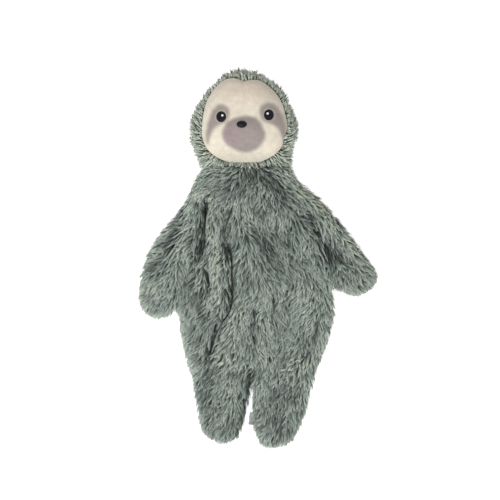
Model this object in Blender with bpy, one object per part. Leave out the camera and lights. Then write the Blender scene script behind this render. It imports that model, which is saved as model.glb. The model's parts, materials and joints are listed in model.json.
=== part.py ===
"""Plush sloth: a stuffed head on a flat, unstuffed body of long-pile fabric, lying on its back.

Metres, +Z up. The toy faces +Z, its head points to +Y, and its own left side is at +X.
The layout is drawn in the sewing plane, with the middle of the neck seam at x = 0, y = 0.
Every solid is the outside of its fabric with the pile, so a panel is thicker than its backing.
"""

import math

import bmesh
import bpy
from mathutils import Matrix, Vector

# The sewing plane, where front and back panels meet, and how closely pieces lie
SEAM_HEIGHT = 0.0130
FLOOR_CUT = 0.0005
FABRIC_GAP = 0.0003
EDGE_THICKNESS = 0.0011

# Torso: shares run down from the neck seam (of the length) and across from its middle (of the width)
TORSO_LENGTH = 0.214
TORSO_WIDTH = 0.154
TORSO_FRONT_RISE = 0.0130
TORSO_EDGE_ROUND = 0.040
TORSO_RIGHT_EDGE_SHARES = (
    (0.723, -0.436), (0.785, -0.426), (0.845, -0.402), (0.900, -0.380), (0.950, -0.364), (1.000, -0.350),
)
TORSO_LEFT_EDGE_SHARES = (
    (0.628, 0.562), (0.700, 0.553), (0.783, 0.528), (0.840, 0.498), (0.890, 0.470), (0.950, 0.438),
    (1.000, 0.418),
)

# Relief of the torso's slack front: how deep or high, how wide, and the paths in the torso's shares
BELLY_FOLD_DEPTH = 0.0060
BELLY_FOLD_WIDTH = 0.0065
BELLY_FOLD_SHARES = (
    (0.364, -0.117), (0.470, -0.103), (0.645, -0.110), (0.743, -0.172), (0.801, -0.227), (0.864, -0.246),
)
ARMPIT_FOLD_DEPTH = 0.0045
ARMPIT_FOLD_WIDTH = 0.0050
ARMPIT_FOLD_SHARES = ((0.140, -0.270), (0.257, -0.286), (0.360, -0.303), (0.411, -0.335), (0.520, -0.390))
HOLLOW_DEPTH = 0.0034
HOLLOW_WIDTH = 0.0100
HOLLOWS_SHARES = (
    ((0.376, 0.119), (0.440, 0.165), (0.507, 0.229)),
    ((0.050, 0.040), (0.080, 0.165), (0.140, 0.250)),
    ((0.900, -0.248), (0.945, -0.253)),
)
SWELL_RISE = 0.0022
SWELL_WIDTH = 0.0095
SWELLS_SHARES = (
    ((0.115, -0.186), (0.283, -0.199), (0.629, -0.186)),
    ((0.115, 0.034), (0.217, -0.005), (0.423, -0.005)),
    ((0.666, -0.044), (0.778, -0.082), (0.890, -0.134)),
    ((0.685, 0.112), (0.788, 0.125), (0.909, 0.099)),
    ((0.610, 0.385), (0.694, 0.398), (0.816, 0.346)),
)

# Arm seams: where each starts on the neck seam and ends at the armpit, in the torso's shares
ARM_NECK_CLEARANCE = 0.0020
RIGHT_SEAM_TOP_SHARE = -0.288
RIGHT_SEAM_END_SHARES = (0.659, -0.435)
LEFT_SEAM_TOP_SHARE = 0.285
LEFT_SEAM_END_SHARES = (0.563, 0.564)

# Arms: rows of shares are (down the seam, inner edge, outer edge), of the arm's length and width
ARM_FRONT_RISE = 0.0118
ARM_EDGE_ROUND = 0.018
RIGHT_ARM_LENGTH = 0.151
RIGHT_ARM_WIDTH = 0.0445
RIGHT_ARM_SHARES = (
    (0.040, 0.000, 0.090), (0.110, 0.000, 0.155), (0.187, 0.000, 0.216), (0.250, 0.000, 0.281),
    (0.373, 0.000, 0.533), (0.505, 0.000, 0.809), (0.650, 0.000, 0.962), (0.754, 0.000, 0.991),
    (0.856, 0.000, 0.975), (0.916, 0.060, 0.925), (0.940, 0.140, 0.890), (0.967, 0.262, 0.790),
    (0.987, 0.370, 0.680), (1.000, 0.470, 0.580),
)
LEFT_ARM_LENGTH = 0.1375
LEFT_ARM_WIDTH = 0.0470
LEFT_ARM_SHARES = (
    (0.036, 0.000, 0.075), (0.066, 0.000, 0.100), (0.128, 0.000, 0.191), (0.230, 0.000, 0.374),
    (0.348, 0.000, 0.536), (0.485, 0.000, 0.683), (0.638, 0.000, 0.806), (0.792, 0.000, 0.934),
    (0.873, 0.000, 0.985), (0.908, 0.030, 0.998), (0.941, 0.140, 0.915), (0.967, 0.215, 0.810),
    (0.992, 0.317, 0.660), (1.000, 0.425, 0.575),
)

# Legs: shares are (down from the hip seam, inner edge, outer edge); the width is the torso's at the hip
LEG_FRONT_RISE = 0.0125
LEG_EDGE_ROUND = 0.020
CROTCH_SHARE = 0.023
CROTCH_GAP = 0.0010
RIGHT_LEG_LENGTH = 0.060
RIGHT_LEG_SHARES = (
    (0.000, 0.000, 1.000), (0.130, 0.018, 0.975), (0.370, 0.080, 0.930), (0.670, 0.150, 0.890),
    (0.830, 0.195, 0.840), (0.930, 0.260, 0.750), (1.000, 0.400, 0.590),
)
LEFT_LEG_LENGTH = 0.065
LEFT_LEG_SHARES = (
    (0.000, 0.000, 1.000), (0.120, 0.010, 0.950), (0.260, 0.015, 0.885), (0.540, 0.000, 0.795),
    (0.710, 0.020, 0.735), (0.820, 0.070, 0.685), (0.930, 0.150, 0.570), (1.000, 0.270, 0.440),
)

# Sewn seams: a roll of seam allowance that the panels hinge round, and the slopes beside it
SEAM_ROLL_RADIUS = 0.0020
SEAM_ROOM_RADIUS = SEAM_ROLL_RADIUS + FABRIC_GAP
SEAM_END_INSET = 0.0040
NECK_ROOM_OVERRUN = 0.0080
LIMB_FRONT_SLOPE = math.radians(32)
BACK_SLOPE = math.radians(42)
NECK_FRONT_SLOPE = math.radians(40)
CHIN_SLOPE = math.radians(69)

# Head: outline shares are of the head's width and length, from the middle of the neck seam
HEAD_WIDTH = 0.110
HEAD_LENGTH = 0.098
HEAD_FRONT_RISE = 0.0430
HEAD_BACK_RISE = 0.0175
HEAD_LEAN = math.radians(7)
HEAD_CENTRE_SHARES = (-0.032, 0.470)
HEAD_OUTLINE_SHARES = (
    (0.385, 0.012), (0.386, 0.110), (0.413, 0.226), (0.455, 0.330), (0.459, 0.438), (0.427, 0.541),
    (0.368, 0.711), (0.310, 0.806), (0.242, 0.875), (0.145, 0.950), (0.060, 0.988), (-0.035, 1.000),
    (-0.150, 0.986), (-0.225, 0.950), (-0.294, 0.890), (-0.384, 0.790), (-0.436, 0.690), (-0.510, 0.520),
    (-0.536, 0.340), (-0.522, 0.256), (-0.481, 0.165), (-0.440, 0.085), (-0.395, 0.012), (-0.220, 0.012),
    (-0.020, 0.012), (0.180, 0.012),
)
HOOD_THICKNESS = 0.0070
HOOD_LEAST_LEDGE = 0.0005
FILLING_FIT_SHARE = 0.975

# Face panel: outline shares are of the face's width and length, from the face's own middle
FACE_WIDTH = 0.0857
FACE_LENGTH = 0.0845
FACE_CENTRE_SHARES = (-0.023, 0.489)
FACE_DEPTH_BELOW_PILE = 0.0035
FACE_OUTLINE_SHARES = (
    (0.500, -0.060), (0.492, -0.180), (0.430, -0.315), (0.320, -0.415), (0.205, -0.475), (-0.015, -0.503),
    (-0.195, -0.475), (-0.330, -0.430), (-0.420, -0.315), (-0.480, -0.195), (-0.500, -0.040), (-0.480, 0.076),
    (-0.427, 0.238), (-0.348, 0.375), (-0.195, 0.497), (-0.105, 0.490), (-0.016, 0.455), (0.070, 0.480),
    (0.162, 0.479), (0.341, 0.348), (0.430, 0.204), (0.485, 0.075),
)
MUZZLE_RISE = 0.0042
MUZZLE_WIDTH = 0.043
MUZZLE_LENGTH = 0.035
MUZZLE_CENTRE_SHARES = (-0.006, -0.170)
MUZZLE_ROUNDNESS = 3.0

# Embroidery: places are shares of the face from its middle, or of an eye from its own middle
EYE_WIDTH = 0.0098
EYE_LENGTH = 0.0109
EYE_THICKNESS = 0.0013
RIGHT_EYE_SHARES = (-0.267, 0.030)
LEFT_EYE_SHARES = (0.287, 0.052)
GLINT_SIZE = 0.0022
GLINT_THICKNESS = 0.0005
GLINT_PLACE_SHARES = (0.125, 0.130)
NOSE_WIDTH = 0.0102
NOSE_LENGTH = 0.0070
NOSE_THICKNESS = 0.0016
NOSE_SHARES = (-0.028, -0.060)
STITCH_EDGE = 0.0004

# Sewn-in label at the inner edge of the left leg
LABEL_LENGTH = 0.0125
LABEL_REACH = 0.0035
LABEL_THICKNESS = 0.0006
LABEL_PLACE_SHARE = 0.460

# How full the swells are and how softly two slopes join, as powers
EDGE_ROUNDNESS = 2.2
HEAD_ROUNDNESS = 2.35
SLOPE_JOIN_POWER = 6.0

# How finely the solids are cut
ROWS_ALONG_TORSO = 42
EDGE_ROWS_BY_ARM = 4
COLUMNS_ACROSS_TORSO = 30
ROWS_ALONG_LIMB = 14
COLUMNS_ACROSS_LIMB = 10
HEAD_RAYS = 44
HOOD_RINGS = 5
FACE_RINGS = 10
BOWL_RINGS = 7
PAD_SIDES = 18
PAD_RINGS = 3
ROLL_SIDES = 20
CORNER_SHARE = 0.0001


def clear_scene():
    for item in list(bpy.data.objects):
        bpy.data.objects.remove(item)


def fabric(name, colour, roughness):
    """A Principled material with the piece's own colour."""
    material = bpy.data.materials.new(name)
    material.use_nodes = True
    shader = material.node_tree.nodes["Principled BSDF"]
    shader.inputs["Base Color"].default_value = (*colour, 1.0)
    shader.inputs["Roughness"].default_value = roughness
    shader.inputs["Metallic"].default_value = 0.0
    return material


# Curves and distances in the sewing plane


def smooth(rows, count, closed=False):
    """count rows along a smooth curve through the given rows, which may hold any number of values."""
    last = len(rows) if closed else len(rows) - 1
    found = []
    for step in range(count):
        along = step * last / (count if closed else count - 1)
        start = min(int(along), last - 1)
        part = along - start
        around = []
        for offset in (-1, 0, 1, 2):
            index = start + offset
            around.append(rows[index % len(rows)] if closed else rows[min(max(index, 0), len(rows) - 1)])
        found.append(tuple(
            0.5 * (2 * b + (c - a) * part + (2 * a - 5 * b + 4 * c - d) * part**2
                   + (3 * b - a - 3 * c + d) * part**3)
            for a, b, c, d in zip(*around)
        ))
    return found


def closed_outline(points, count):
    return [Vector(place) for place in smooth([tuple(point) for point in points], count, closed=True)]


def softly_least(heights):
    """The least of some heights, rounded off where two of them are nearly the same."""
    least = min(heights)
    if least <= 0:
        return least
    return least * sum((least / height) ** SLOPE_JOIN_POWER for height in heights) ** (-1 / SLOPE_JOIN_POWER)


def distance_to_line(point, line):
    """Distance from an endless line through two points."""
    start, end = line
    along = (end - start).normalized()
    return abs((point - start).cross(along))


def distance_to_path(point, path):
    """Distance from a path of straight pieces."""
    nearest = math.inf
    for start, end in zip(path, path[1:]):
        piece = end - start
        share = max(0.0, min(1.0, (point - start).dot(piece) / piece.length_squared))
        nearest = min(nearest, (point - start - piece * share).length)
    return nearest


def reach(outline, centre, way):
    """How far a closed outline lies from its middle, in the direction way."""
    for start, end in zip(outline, outline[1:] + outline[:1]):
        side = end - start
        turn = way.cross(side)
        if not turn:
            continue
        far = (start - centre).cross(side) / turn
        share = (start - centre).cross(way) / turn
        if far > 0 and abs(share - 0.5) <= 0.5 + CORNER_SHARE:
            return far
    raise ValueError("the outline doesn't go round its middle")


# Seams, each a line in the sewing plane


def torso_point(shares):
    down, across = shares
    return Vector((across * TORSO_WIDTH, -down * TORSO_LENGTH))


def torso_path(path_shares):
    return [torso_point(shares) for shares in path_shares]


def arm_seam(top_share, end_shares):
    top = Vector((top_share * TORSO_WIDTH, -ARM_NECK_CLEARANCE))
    return top, torso_point(end_shares)


RIGHT_ARM_SEAM = arm_seam(RIGHT_SEAM_TOP_SHARE, RIGHT_SEAM_END_SHARES)
LEFT_ARM_SEAM = arm_seam(LEFT_SEAM_TOP_SHARE, LEFT_SEAM_END_SHARES)
NECK_SEAM = (
    Vector((RIGHT_SEAM_TOP_SHARE * TORSO_WIDTH, 0.0)),
    Vector((LEFT_SEAM_TOP_SHARE * TORSO_WIDTH, 0.0)),
)
HIP_HALF_GAP = Vector((CROTCH_GAP / 2, 0.0))
CROTCH = torso_point((1.0, CROTCH_SHARE))
RIGHT_HIP_SEAM = (torso_point(TORSO_RIGHT_EDGE_SHARES[-1]), CROTCH - HIP_HALF_GAP)
LEFT_HIP_SEAM = (CROTCH + HIP_HALF_GAP, torso_point(TORSO_LEFT_EDGE_SHARES[-1]))


def seam_x(seam, y):
    """Where a seam's endless line crosses the height y."""
    start, end = seam
    return start.x + (end.x - start.x) * (y - start.y) / (end.y - start.y)


def middle_of(seam):
    return (seam[0] + seam[1]) / 2


# Mesh building


def add_object(name, mesh_builder, material, pivot, parent):
    """An object whose origin is on its pivot, under its body's empty."""
    bmesh.ops.recalc_face_normals(mesh_builder, faces=mesh_builder.faces)
    if mesh_builder.calc_volume(signed=True) < 0:
        bmesh.ops.reverse_faces(mesh_builder, faces=mesh_builder.faces)
    mesh = bpy.data.meshes.new(name)
    mesh_builder.to_mesh(mesh)
    mesh_builder.free()
    mesh.transform(Matrix.Translation(-pivot))
    item = bpy.data.objects.new(name, mesh)
    bpy.context.scene.collection.objects.link(item)
    item.parent = parent
    if material:
        mesh.materials.append(material)
        mesh.shade_smooth()
    return item


def body_empty(name, pivot, root):
    empty = bpy.data.objects.new(name, None)
    bpy.context.scene.collection.objects.link(empty)
    empty.parent = root
    empty.location = pivot
    return empty


def lofted(rings, first_pole=None, last_pole=None):
    """A surface through rings of points, its ends closed to poles, or joined to each other without poles."""
    builder = bmesh.new()
    loops = [[builder.verts.new(point) for point in ring] for ring in rings]
    pairs = list(zip(loops, loops[1:]))
    if first_pole is None:
        pairs.append((loops[-1], loops[0]))
    for one, other in pairs:
        for index in range(len(one)):
            after = (index + 1) % len(one)
            builder.faces.new((one[index], one[after], other[after], other[index]))
    for pole, loop in ((first_pole, loops[0]), (last_pole, loops[-1])):
        if pole is None:
            continue
        tip = builder.verts.new(pole)
        for index in range(len(loop)):
            builder.faces.new((tip, loop[index], loop[(index + 1) % len(loop)]))
    return builder


def flat_panel(grid, height_at, side):
    """A fabric panel on the sewing plane: a grid of places, raised on one side and flat on the other."""
    builder = bmesh.new()
    flat = SEAM_HEIGHT + side * FABRIC_GAP / 2
    outer = []
    for row in grid:
        heights = (max(0.0, SEAM_HEIGHT + side * height_at(place)) for place in row)
        outer.append([builder.verts.new((*place, height)) for place, height in zip(row, heights)])
    for one, other in zip(outer, outer[1:]):
        for index in range(len(one) - 1):
            builder.faces.new((one[index], one[index + 1], other[index + 1], other[index]))
    rim = (outer[0][:-1] + [row[-1] for row in outer[:-1]]
           + outer[-1][:0:-1] + [row[0] for row in outer[:0:-1]])
    lower = [builder.verts.new((corner.co.x, corner.co.y, flat)) for corner in rim]
    for index in range(len(rim)):
        after = (index + 1) % len(rim)
        builder.faces.new((rim[index], rim[after], lower[after], lower[index]))
    builder.faces.new(lower)
    return builder


def spread(start, end, count):
    """Places from start to end that crowd towards both ends."""
    shares = ((1 - math.cos(math.pi * step / (count - 1))) / 2 for step in range(count))
    return [start.lerp(end, share) for share in shares]


def outline_of(grid):
    rim = grid[0][:-1] + [row[-1] for row in grid[:-1]] + grid[-1][:0:-1] + [row[0] for row in grid[:0:-1]]
    return rim + rim[:1]


def pillow_height(grid, rise, edge_round, limits, folds=()):
    """A function for the height of fabric over a place: rounded at the rim, and low beside each seam."""
    outline = outline_of(grid)

    def height(place):
        outward = 1 - min(1.0, distance_to_path(place, outline) / edge_round)
        swell = (1 - outward**EDGE_ROUNDNESS) ** (1 / EDGE_ROUNDNESS)
        full = EDGE_THICKNESS + (rise - EDGE_THICKNESS) * swell
        for path, depth, width in folds:
            full -= depth * swell * math.exp(-((distance_to_path(place, path) / width) ** 2))
        slopes = [distance_to_line(place, seam) * math.tan(slope) for seam, slope in limits]
        return softly_least([full, *slopes])

    return height


# Places of the flat panels


def torso_edge(shares, seam, side):
    """The torso's side: beside the room of the arm seam, then along its own outline."""
    along = (seam[1] - seam[0]).normalized()
    inset = side * SEAM_ROOM_RADIUS / abs(along.y)
    rows = []
    for part in range(EDGE_ROWS_BY_ARM):
        y = -SEAM_ROOM_RADIUS + (seam[1].y + SEAM_ROOM_RADIUS) * part / (EDGE_ROWS_BY_ARM - 1)
        rows.append((y, seam_x(seam, y) - inset))
    for down, across in shares:
        rows.append((max(-down * TORSO_LENGTH, SEAM_ROOM_RADIUS - TORSO_LENGTH), across * TORSO_WIDTH))
    return rows


def x_on_edge(rows, y):
    """The edge's x at the height y, on the smooth curve through its rows."""
    fine = smooth(rows, 8 * len(rows))
    for (y0, x0), (y1, x1) in zip(fine, fine[1:]):
        if y0 >= y >= y1:
            return x0 + (x1 - x0) * (y - y0) / (y1 - y0)
    return fine[-1][1] if y < fine[-1][0] else fine[0][1]


def torso_grid():
    right = torso_edge(TORSO_RIGHT_EDGE_SHARES, RIGHT_ARM_SEAM, -1)
    left = torso_edge(TORSO_LEFT_EDGE_SHARES, LEFT_ARM_SEAM, 1)
    top, bottom = -SEAM_ROOM_RADIUS, SEAM_ROOM_RADIUS - TORSO_LENGTH
    grid = []
    for middle in spread(Vector((0.0, top)), Vector((0.0, bottom)), ROWS_ALONG_TORSO):
        ends = (Vector((x_on_edge(edge, middle.y), middle.y)) for edge in (right, left))
        grid.append(spread(*ends, COLUMNS_ACROSS_TORSO))
    return grid


def arm_grid(seam, shares, length, width):
    along = (seam[1] - seam[0]).normalized()
    outward = Vector((along.y, -along.x))
    if outward.x * middle_of(seam).x < 0:
        outward = -outward
    grid = []
    for down, inner, outer in smooth(shares, ROWS_ALONG_LIMB):
        foot = seam[0] + along * down * length
        near = max(inner * width, SEAM_ROOM_RADIUS)
        grid.append(spread(foot + outward * near, foot + outward * outer * width, COLUMNS_ACROSS_LIMB))
    return grid


def leg_grid(inner_place, outer_place, shares, length):
    grid = []
    for down, inner, outer in smooth(shares, ROWS_ALONG_LIMB):
        drop = Vector((0.0, -max(down * length, SEAM_ROOM_RADIUS)))
        near, far = inner_place.lerp(outer_place, inner), inner_place.lerp(outer_place, outer)
        grid.append(spread(near + drop, far + drop, COLUMNS_ACROSS_LIMB))
    return grid


# Head surfaces, one inside the other: offset 0 is the outside of the pile


def head_point(shares):
    across, up = shares
    return Vector((across * HEAD_WIDTH, up * HEAD_LENGTH))


HEAD_CENTRE = head_point(HEAD_CENTRE_SHARES)
HEAD_OUTLINE = closed_outline(map(head_point, HEAD_OUTLINE_SHARES), HEAD_RAYS)
FACE_CENTRE = head_point(FACE_CENTRE_SHARES)


def face_point(shares):
    across, up = shares
    return FACE_CENTRE + Vector((across * FACE_WIDTH, up * FACE_LENGTH))


FACE_OUTLINE = closed_outline(map(face_point, FACE_OUTLINE_SHARES), 2 * HEAD_RAYS)
MUZZLE_CENTRE = face_point(MUZZLE_CENTRE_SHARES)
RAYS = [(place - HEAD_CENTRE).normalized() for place in HEAD_OUTLINE]


def neck_end(offset, side):
    """How far above the neck seam a surface, offset inwards, comes down to the parting plane."""
    slope = CHIN_SLOPE if side > 0 else BACK_SLOPE
    return offset / math.cos(slope) / (math.tan(slope) - side * math.tan(HEAD_LEAN))


def head_reach(way, offset, side):
    found = reach(HEAD_OUTLINE, HEAD_CENTRE, way) - offset
    if way.y < 0:
        found = min(found, (HEAD_CENTRE.y - neck_end(offset, side)) / -way.y)
    return found


def parting_height(place):
    """The slanting plane where the head's front and back meet."""
    return SEAM_HEIGHT + place.y * math.tan(HEAD_LEAN)


def outward_share(place, offset, side):
    """How far out a place lies, from 0 at the head's middle to 1 at the surface's rim."""
    way = place - HEAD_CENTRE
    return min(1.0, way.length / head_reach(way.normalized(), offset, side)) if way.length else 0.0


def head_height(place, offset, side, share=None):
    """Height of the head's front (side 1) or back (side -1) surface, offset inwards from the pile."""
    if share is None:
        share = outward_share(place, offset, side)
    dome = (1 - share**HEAD_ROUNDNESS) ** (1 / HEAD_ROUNDNESS)
    rise, slope = (HEAD_FRONT_RISE, CHIN_SLOPE) if side > 0 else (HEAD_BACK_RISE, BACK_SLOPE)
    from_neck = place.y * (math.tan(slope) - side * math.tan(HEAD_LEAN)) - offset / math.cos(slope)
    height = parting_height(place) + side * softly_least([(rise - offset) * dome, from_neck])
    return height if side > 0 else max(height, offset)


def muzzle_rise(place):
    across = (place.x - MUZZLE_CENTRE.x) / (MUZZLE_WIDTH / 2)
    up = (place.y - MUZZLE_CENTRE.y) / (MUZZLE_LENGTH / 2)
    return MUZZLE_RISE * math.exp(-(math.hypot(across, up) ** MUZZLE_ROUNDNESS))


def face_height(place, offset=FACE_DEPTH_BELOW_PILE):
    return max(head_height(place, offset, 1) + muzzle_rise(place), parting_height(place) + FABRIC_GAP / 2)


def lifted(place, height):
    return Vector((place.x, place.y, height))


def rounded_shares(count):
    """Shares from 0 to 1 that crowd towards 1, where the head's side is steep."""
    return [math.sin(math.pi / 2 * step / count) for step in range(1, count + 1)]


def head_hood():
    """The ring of fabric round the face, from the head's side seam to the face seam."""
    rings = []
    for offset, order in ((0.0, 1), (HOOD_THICKNESS, -1)):
        surface = []
        for step in range(HOOD_RINGS):
            part = math.sin(math.pi / 2 * step / (HOOD_RINGS - 1))
            ring = []
            for way in RAYS:
                inner = reach(FACE_OUTLINE, HEAD_CENTRE, way) + FABRIC_GAP / 2
                outer = max(head_reach(way, offset, 1), inner + HOOD_LEAST_LEDGE)
                place = HEAD_CENTRE + way * (inner + (outer - inner) * part)
                floor = parting_height(place) + FABRIC_GAP / 2
                ring.append(lifted(place, max(head_height(place, offset, 1), floor)))
            surface.append(ring)
        rings += surface[::order]
    return lofted(rings)


def head_back_panel():
    """The back of the head, a bowl of fabric under the parting plane."""
    rings = []
    for offset, order in ((0.0, 1), (HOOD_THICKNESS, -1)):
        surface = []
        for share in rounded_shares(BOWL_RINGS):
            ring = []
            for way in RAYS:
                place = HEAD_CENTRE + way * head_reach(way, offset, -1) * share
                ceiling = parting_height(place) - FABRIC_GAP / 2
                ring.append(lifted(place, min(head_height(place, offset, -1), ceiling)))
            surface.append(ring)
        rings += surface[::order]
    poles = [lifted(HEAD_CENTRE, head_height(HEAD_CENTRE, offset, -1)) for offset in (0.0, HOOD_THICKNESS)]
    return lofted(rings, *poles)


def head_filling():
    """One wad of fibre: the room inside the head's fabric, shrunk a little about its middle."""
    middle = lifted(HEAD_CENTRE, parting_height(HEAD_CENTRE))
    shares = rounded_shares(BOWL_RINGS)
    rings = []
    for side, side_shares in ((1, shares), (-1, shares[-2::-1])):
        for share in side_shares:
            ring = []
            for way in RAYS:
                far = min(head_reach(way, HOOD_THICKNESS, 1), head_reach(way, HOOD_THICKNESS, -1))
                place = HEAD_CENTRE + way * far * share
                wall = lifted(place, head_height(place, HOOD_THICKNESS, side, share))
                ring.append(middle.lerp(wall, FILLING_FIT_SHARE))
            rings.append(ring)
    tops = [lifted(HEAD_CENTRE, head_height(HEAD_CENTRE, HOOD_THICKNESS, side)) for side in (1, -1)]
    return lofted(rings, *(middle.lerp(top, FILLING_FIT_SHARE) for top in tops))


def face_panel():
    """The short-pile face, which fills the hood's opening and lies a little below the long pile."""
    rings = []
    for offset, order in ((FACE_DEPTH_BELOW_PILE, 1), (HOOD_THICKNESS, -1)):
        surface = []
        for share in rounded_shares(FACE_RINGS):
            places = [
                HEAD_CENTRE + way * (reach(FACE_OUTLINE, HEAD_CENTRE, way) - FABRIC_GAP / 2) * share
                for way in RAYS
            ]
            surface.append([lifted(place, face_height(place, offset)) for place in places])
        rings += surface[::order]
    depths = (FACE_DEPTH_BELOW_PILE, HOOD_THICKNESS)
    poles = [lifted(HEAD_CENTRE, face_height(HEAD_CENTRE, depth)) for depth in depths]
    return lofted(rings, *poles)


def stitched_pad(centre, width, length, thickness, under):
    """A pad of satin stitch that follows the surface under it: (mesh, a function for its top's height)."""

    def top(place):
        across, up = (place.x - centre.x) / (width / 2), (place.y - centre.y) / (length / 2)
        crown = math.sqrt(max(0.0, 1 - across**2 - up**2))
        return under(place) + FABRIC_GAP + STITCH_EDGE + (thickness - STITCH_EDGE) * crown

    rings = []
    for height, order in ((top, 1), (lambda place: under(place) + FABRIC_GAP, -1)):
        surface = []
        for share in rounded_shares(PAD_RINGS):
            ring = []
            for step in range(PAD_SIDES):
                turn = math.tau * step / PAD_SIDES
                way = Vector((math.cos(turn) * width / 2, math.sin(turn) * length / 2))
                place = centre + way * share
                ring.append(lifted(place, height(place)))
            surface.append(ring)
        rings += surface[::order]
    poles = [lifted(centre, top(centre)), lifted(centre, under(centre) + FABRIC_GAP)]
    return lofted(rings, *poles), top


# Small pieces


def label_at(leg):
    """The bare end of a label that sticks out of the leg's inner edge."""
    middle = leg[round(LABEL_PLACE_SHARE * (ROWS_ALONG_LIMB - 1))][0]
    beside = [row[0].x for row in leg if abs(row[0].y - middle.y) < LABEL_LENGTH]
    builder = bmesh.new()
    bmesh.ops.create_cube(builder, size=1.0)
    sizes = Matrix.Diagonal((LABEL_REACH, LABEL_LENGTH, LABEL_THICKNESS, 1.0))
    centre = Vector((min(beside) - FABRIC_GAP - LABEL_REACH / 2, middle.y, SEAM_HEIGHT))
    builder.transform(Matrix.Translation(centre) @ sizes)
    return builder


def roll_between(start, end, radius):
    """A round bar between two points."""
    along = end - start
    builder = bmesh.new()
    bmesh.ops.create_cone(
        builder, cap_ends=True, segments=ROLL_SIDES, radius1=radius, radius2=radius, depth=along.length
    )
    turn = along.to_track_quat("Z", "Y").to_matrix().to_4x4()
    builder.transform(Matrix.Translation((start + end) / 2) @ turn)
    return builder


# Cutting and assembly


def hide_cutter(cutter):
    cutter.hide_render = True
    cutter.display_type = "WIRE"
    return cutter


def cut(item, cutter):
    modifier = item.modifiers.new("cut_by_" + cutter.name, "BOOLEAN")
    modifier.operation = "DIFFERENCE"
    modifier.object = cutter
    modifier.solver = "EXACT"


def seam_points(seam, inset):
    """A seam's two ends in space, drawn in (or, with a negative inset, run past) by a length."""
    along = (seam[1] - seam[0]).normalized() * inset
    return lifted(seam[0] + along, SEAM_HEIGHT), lifted(seam[1] - along, SEAM_HEIGHT)


PIVOTS = {
    "torso": Vector((0.0, 0.0)),
    "head": middle_of(NECK_SEAM),
    "arm_right": middle_of(RIGHT_ARM_SEAM),
    "arm_left": middle_of(LEFT_ARM_SEAM),
    "leg_right": middle_of(RIGHT_HIP_SEAM),
    "leg_left": middle_of(LEFT_HIP_SEAM),
}


def make_bodies(root):
    """An empty on each body's pivot, and a function that puts a named piece under one of them."""
    empties = {}
    for name, at in PIVOTS.items():
        empties[name] = body_empty(name + "_pivot", lifted(at, SEAM_HEIGHT), root)

    def place(name, builder, material, body):
        return add_object(name, builder, material, lifted(PIVOTS[body], SEAM_HEIGHT), empties[body])

    return place


def make_seams(place, material):
    """The seam rolls, and the cutter for the room that the head leaves round the neck's."""
    for name, seam in (
        ("neck_seam", NECK_SEAM), ("arm_right_seam", RIGHT_ARM_SEAM), ("arm_left_seam", LEFT_ARM_SEAM),
        ("leg_right_seam", RIGHT_HIP_SEAM), ("leg_left_seam", LEFT_HIP_SEAM),
    ):
        place(name, roll_between(*seam_points(seam, SEAM_END_INSET), SEAM_ROLL_RADIUS), material, "torso")
    room = roll_between(*seam_points(NECK_SEAM, -NECK_ROOM_OVERRUN), SEAM_ROOM_RADIUS)
    return hide_cutter(place("neck_room", room, None, "torso"))


def make_torso(place, material):
    grid = torso_grid()
    folds = [
        (torso_path(BELLY_FOLD_SHARES), BELLY_FOLD_DEPTH, BELLY_FOLD_WIDTH),
        (torso_path(ARMPIT_FOLD_SHARES), ARMPIT_FOLD_DEPTH, ARMPIT_FOLD_WIDTH),
    ]
    folds += [(torso_path(shares), HOLLOW_DEPTH, HOLLOW_WIDTH) for shares in HOLLOWS_SHARES]
    folds += [(torso_path(shares), -SWELL_RISE, SWELL_WIDTH) for shares in SWELLS_SHARES]
    side_seams = (RIGHT_ARM_SEAM, LEFT_ARM_SEAM, RIGHT_HIP_SEAM)
    front_limits = [(seam, LIMB_FRONT_SLOPE) for seam in side_seams] + [(NECK_SEAM, NECK_FRONT_SLOPE)]
    back_limits = [(seam, BACK_SLOPE) for seam in (*side_seams, NECK_SEAM)]
    front = pillow_height(grid, TORSO_FRONT_RISE, TORSO_EDGE_ROUND, front_limits, folds)
    back = pillow_height(grid, SEAM_HEIGHT + FLOOR_CUT, TORSO_EDGE_ROUND, back_limits)
    place("torso_front_panel", flat_panel(grid, front, 1), material, "torso")
    place("torso_back_panel", flat_panel(grid, back, -1), material, "torso")


def make_limb(name, place, material, grid, seam, rise, edge_round):
    front_limits = [(seam, LIMB_FRONT_SLOPE), (NECK_SEAM, NECK_FRONT_SLOPE)]
    back_limits = [(seam, BACK_SLOPE), (NECK_SEAM, BACK_SLOPE)]
    front = pillow_height(grid, rise, edge_round, front_limits)
    back = pillow_height(grid, SEAM_HEIGHT + FLOOR_CUT, edge_round, back_limits)
    place(name + "_front_panel", flat_panel(grid, front, 1), material, name)
    place(name + "_back_panel", flat_panel(grid, back, -1), material, name)


def make_head(place, fur, face_cloth, fibre, room):
    cut(place("head_hood_panel", head_hood(), fur, "head"), room)
    cut(place("head_back_panel", head_back_panel(), fur, "head"), room)
    place("face_panel", face_panel(), face_cloth, "head")
    place("head_filling", head_filling(), fibre, "head")


def make_embroidery(place, black, white):
    for side, shares, inward in (("right", RIGHT_EYE_SHARES, 1), ("left", LEFT_EYE_SHARES, -1)):
        centre = face_point(shares)
        eye, eye_top = stitched_pad(centre, EYE_WIDTH, EYE_LENGTH, EYE_THICKNESS, face_height)
        place("eye_" + side, eye, black, "head")
        across, up = GLINT_PLACE_SHARES
        spot = centre + Vector((inward * across * EYE_WIDTH, up * EYE_LENGTH))
        glint, _ = stitched_pad(spot, GLINT_SIZE, GLINT_SIZE, GLINT_THICKNESS, eye_top)
        place("eye_glint_" + side, glint, white, "head")
    nose, _ = stitched_pad(face_point(NOSE_SHARES), NOSE_WIDTH, NOSE_LENGTH, NOSE_THICKNESS, face_height)
    place("nose", nose, black, "head")


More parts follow.
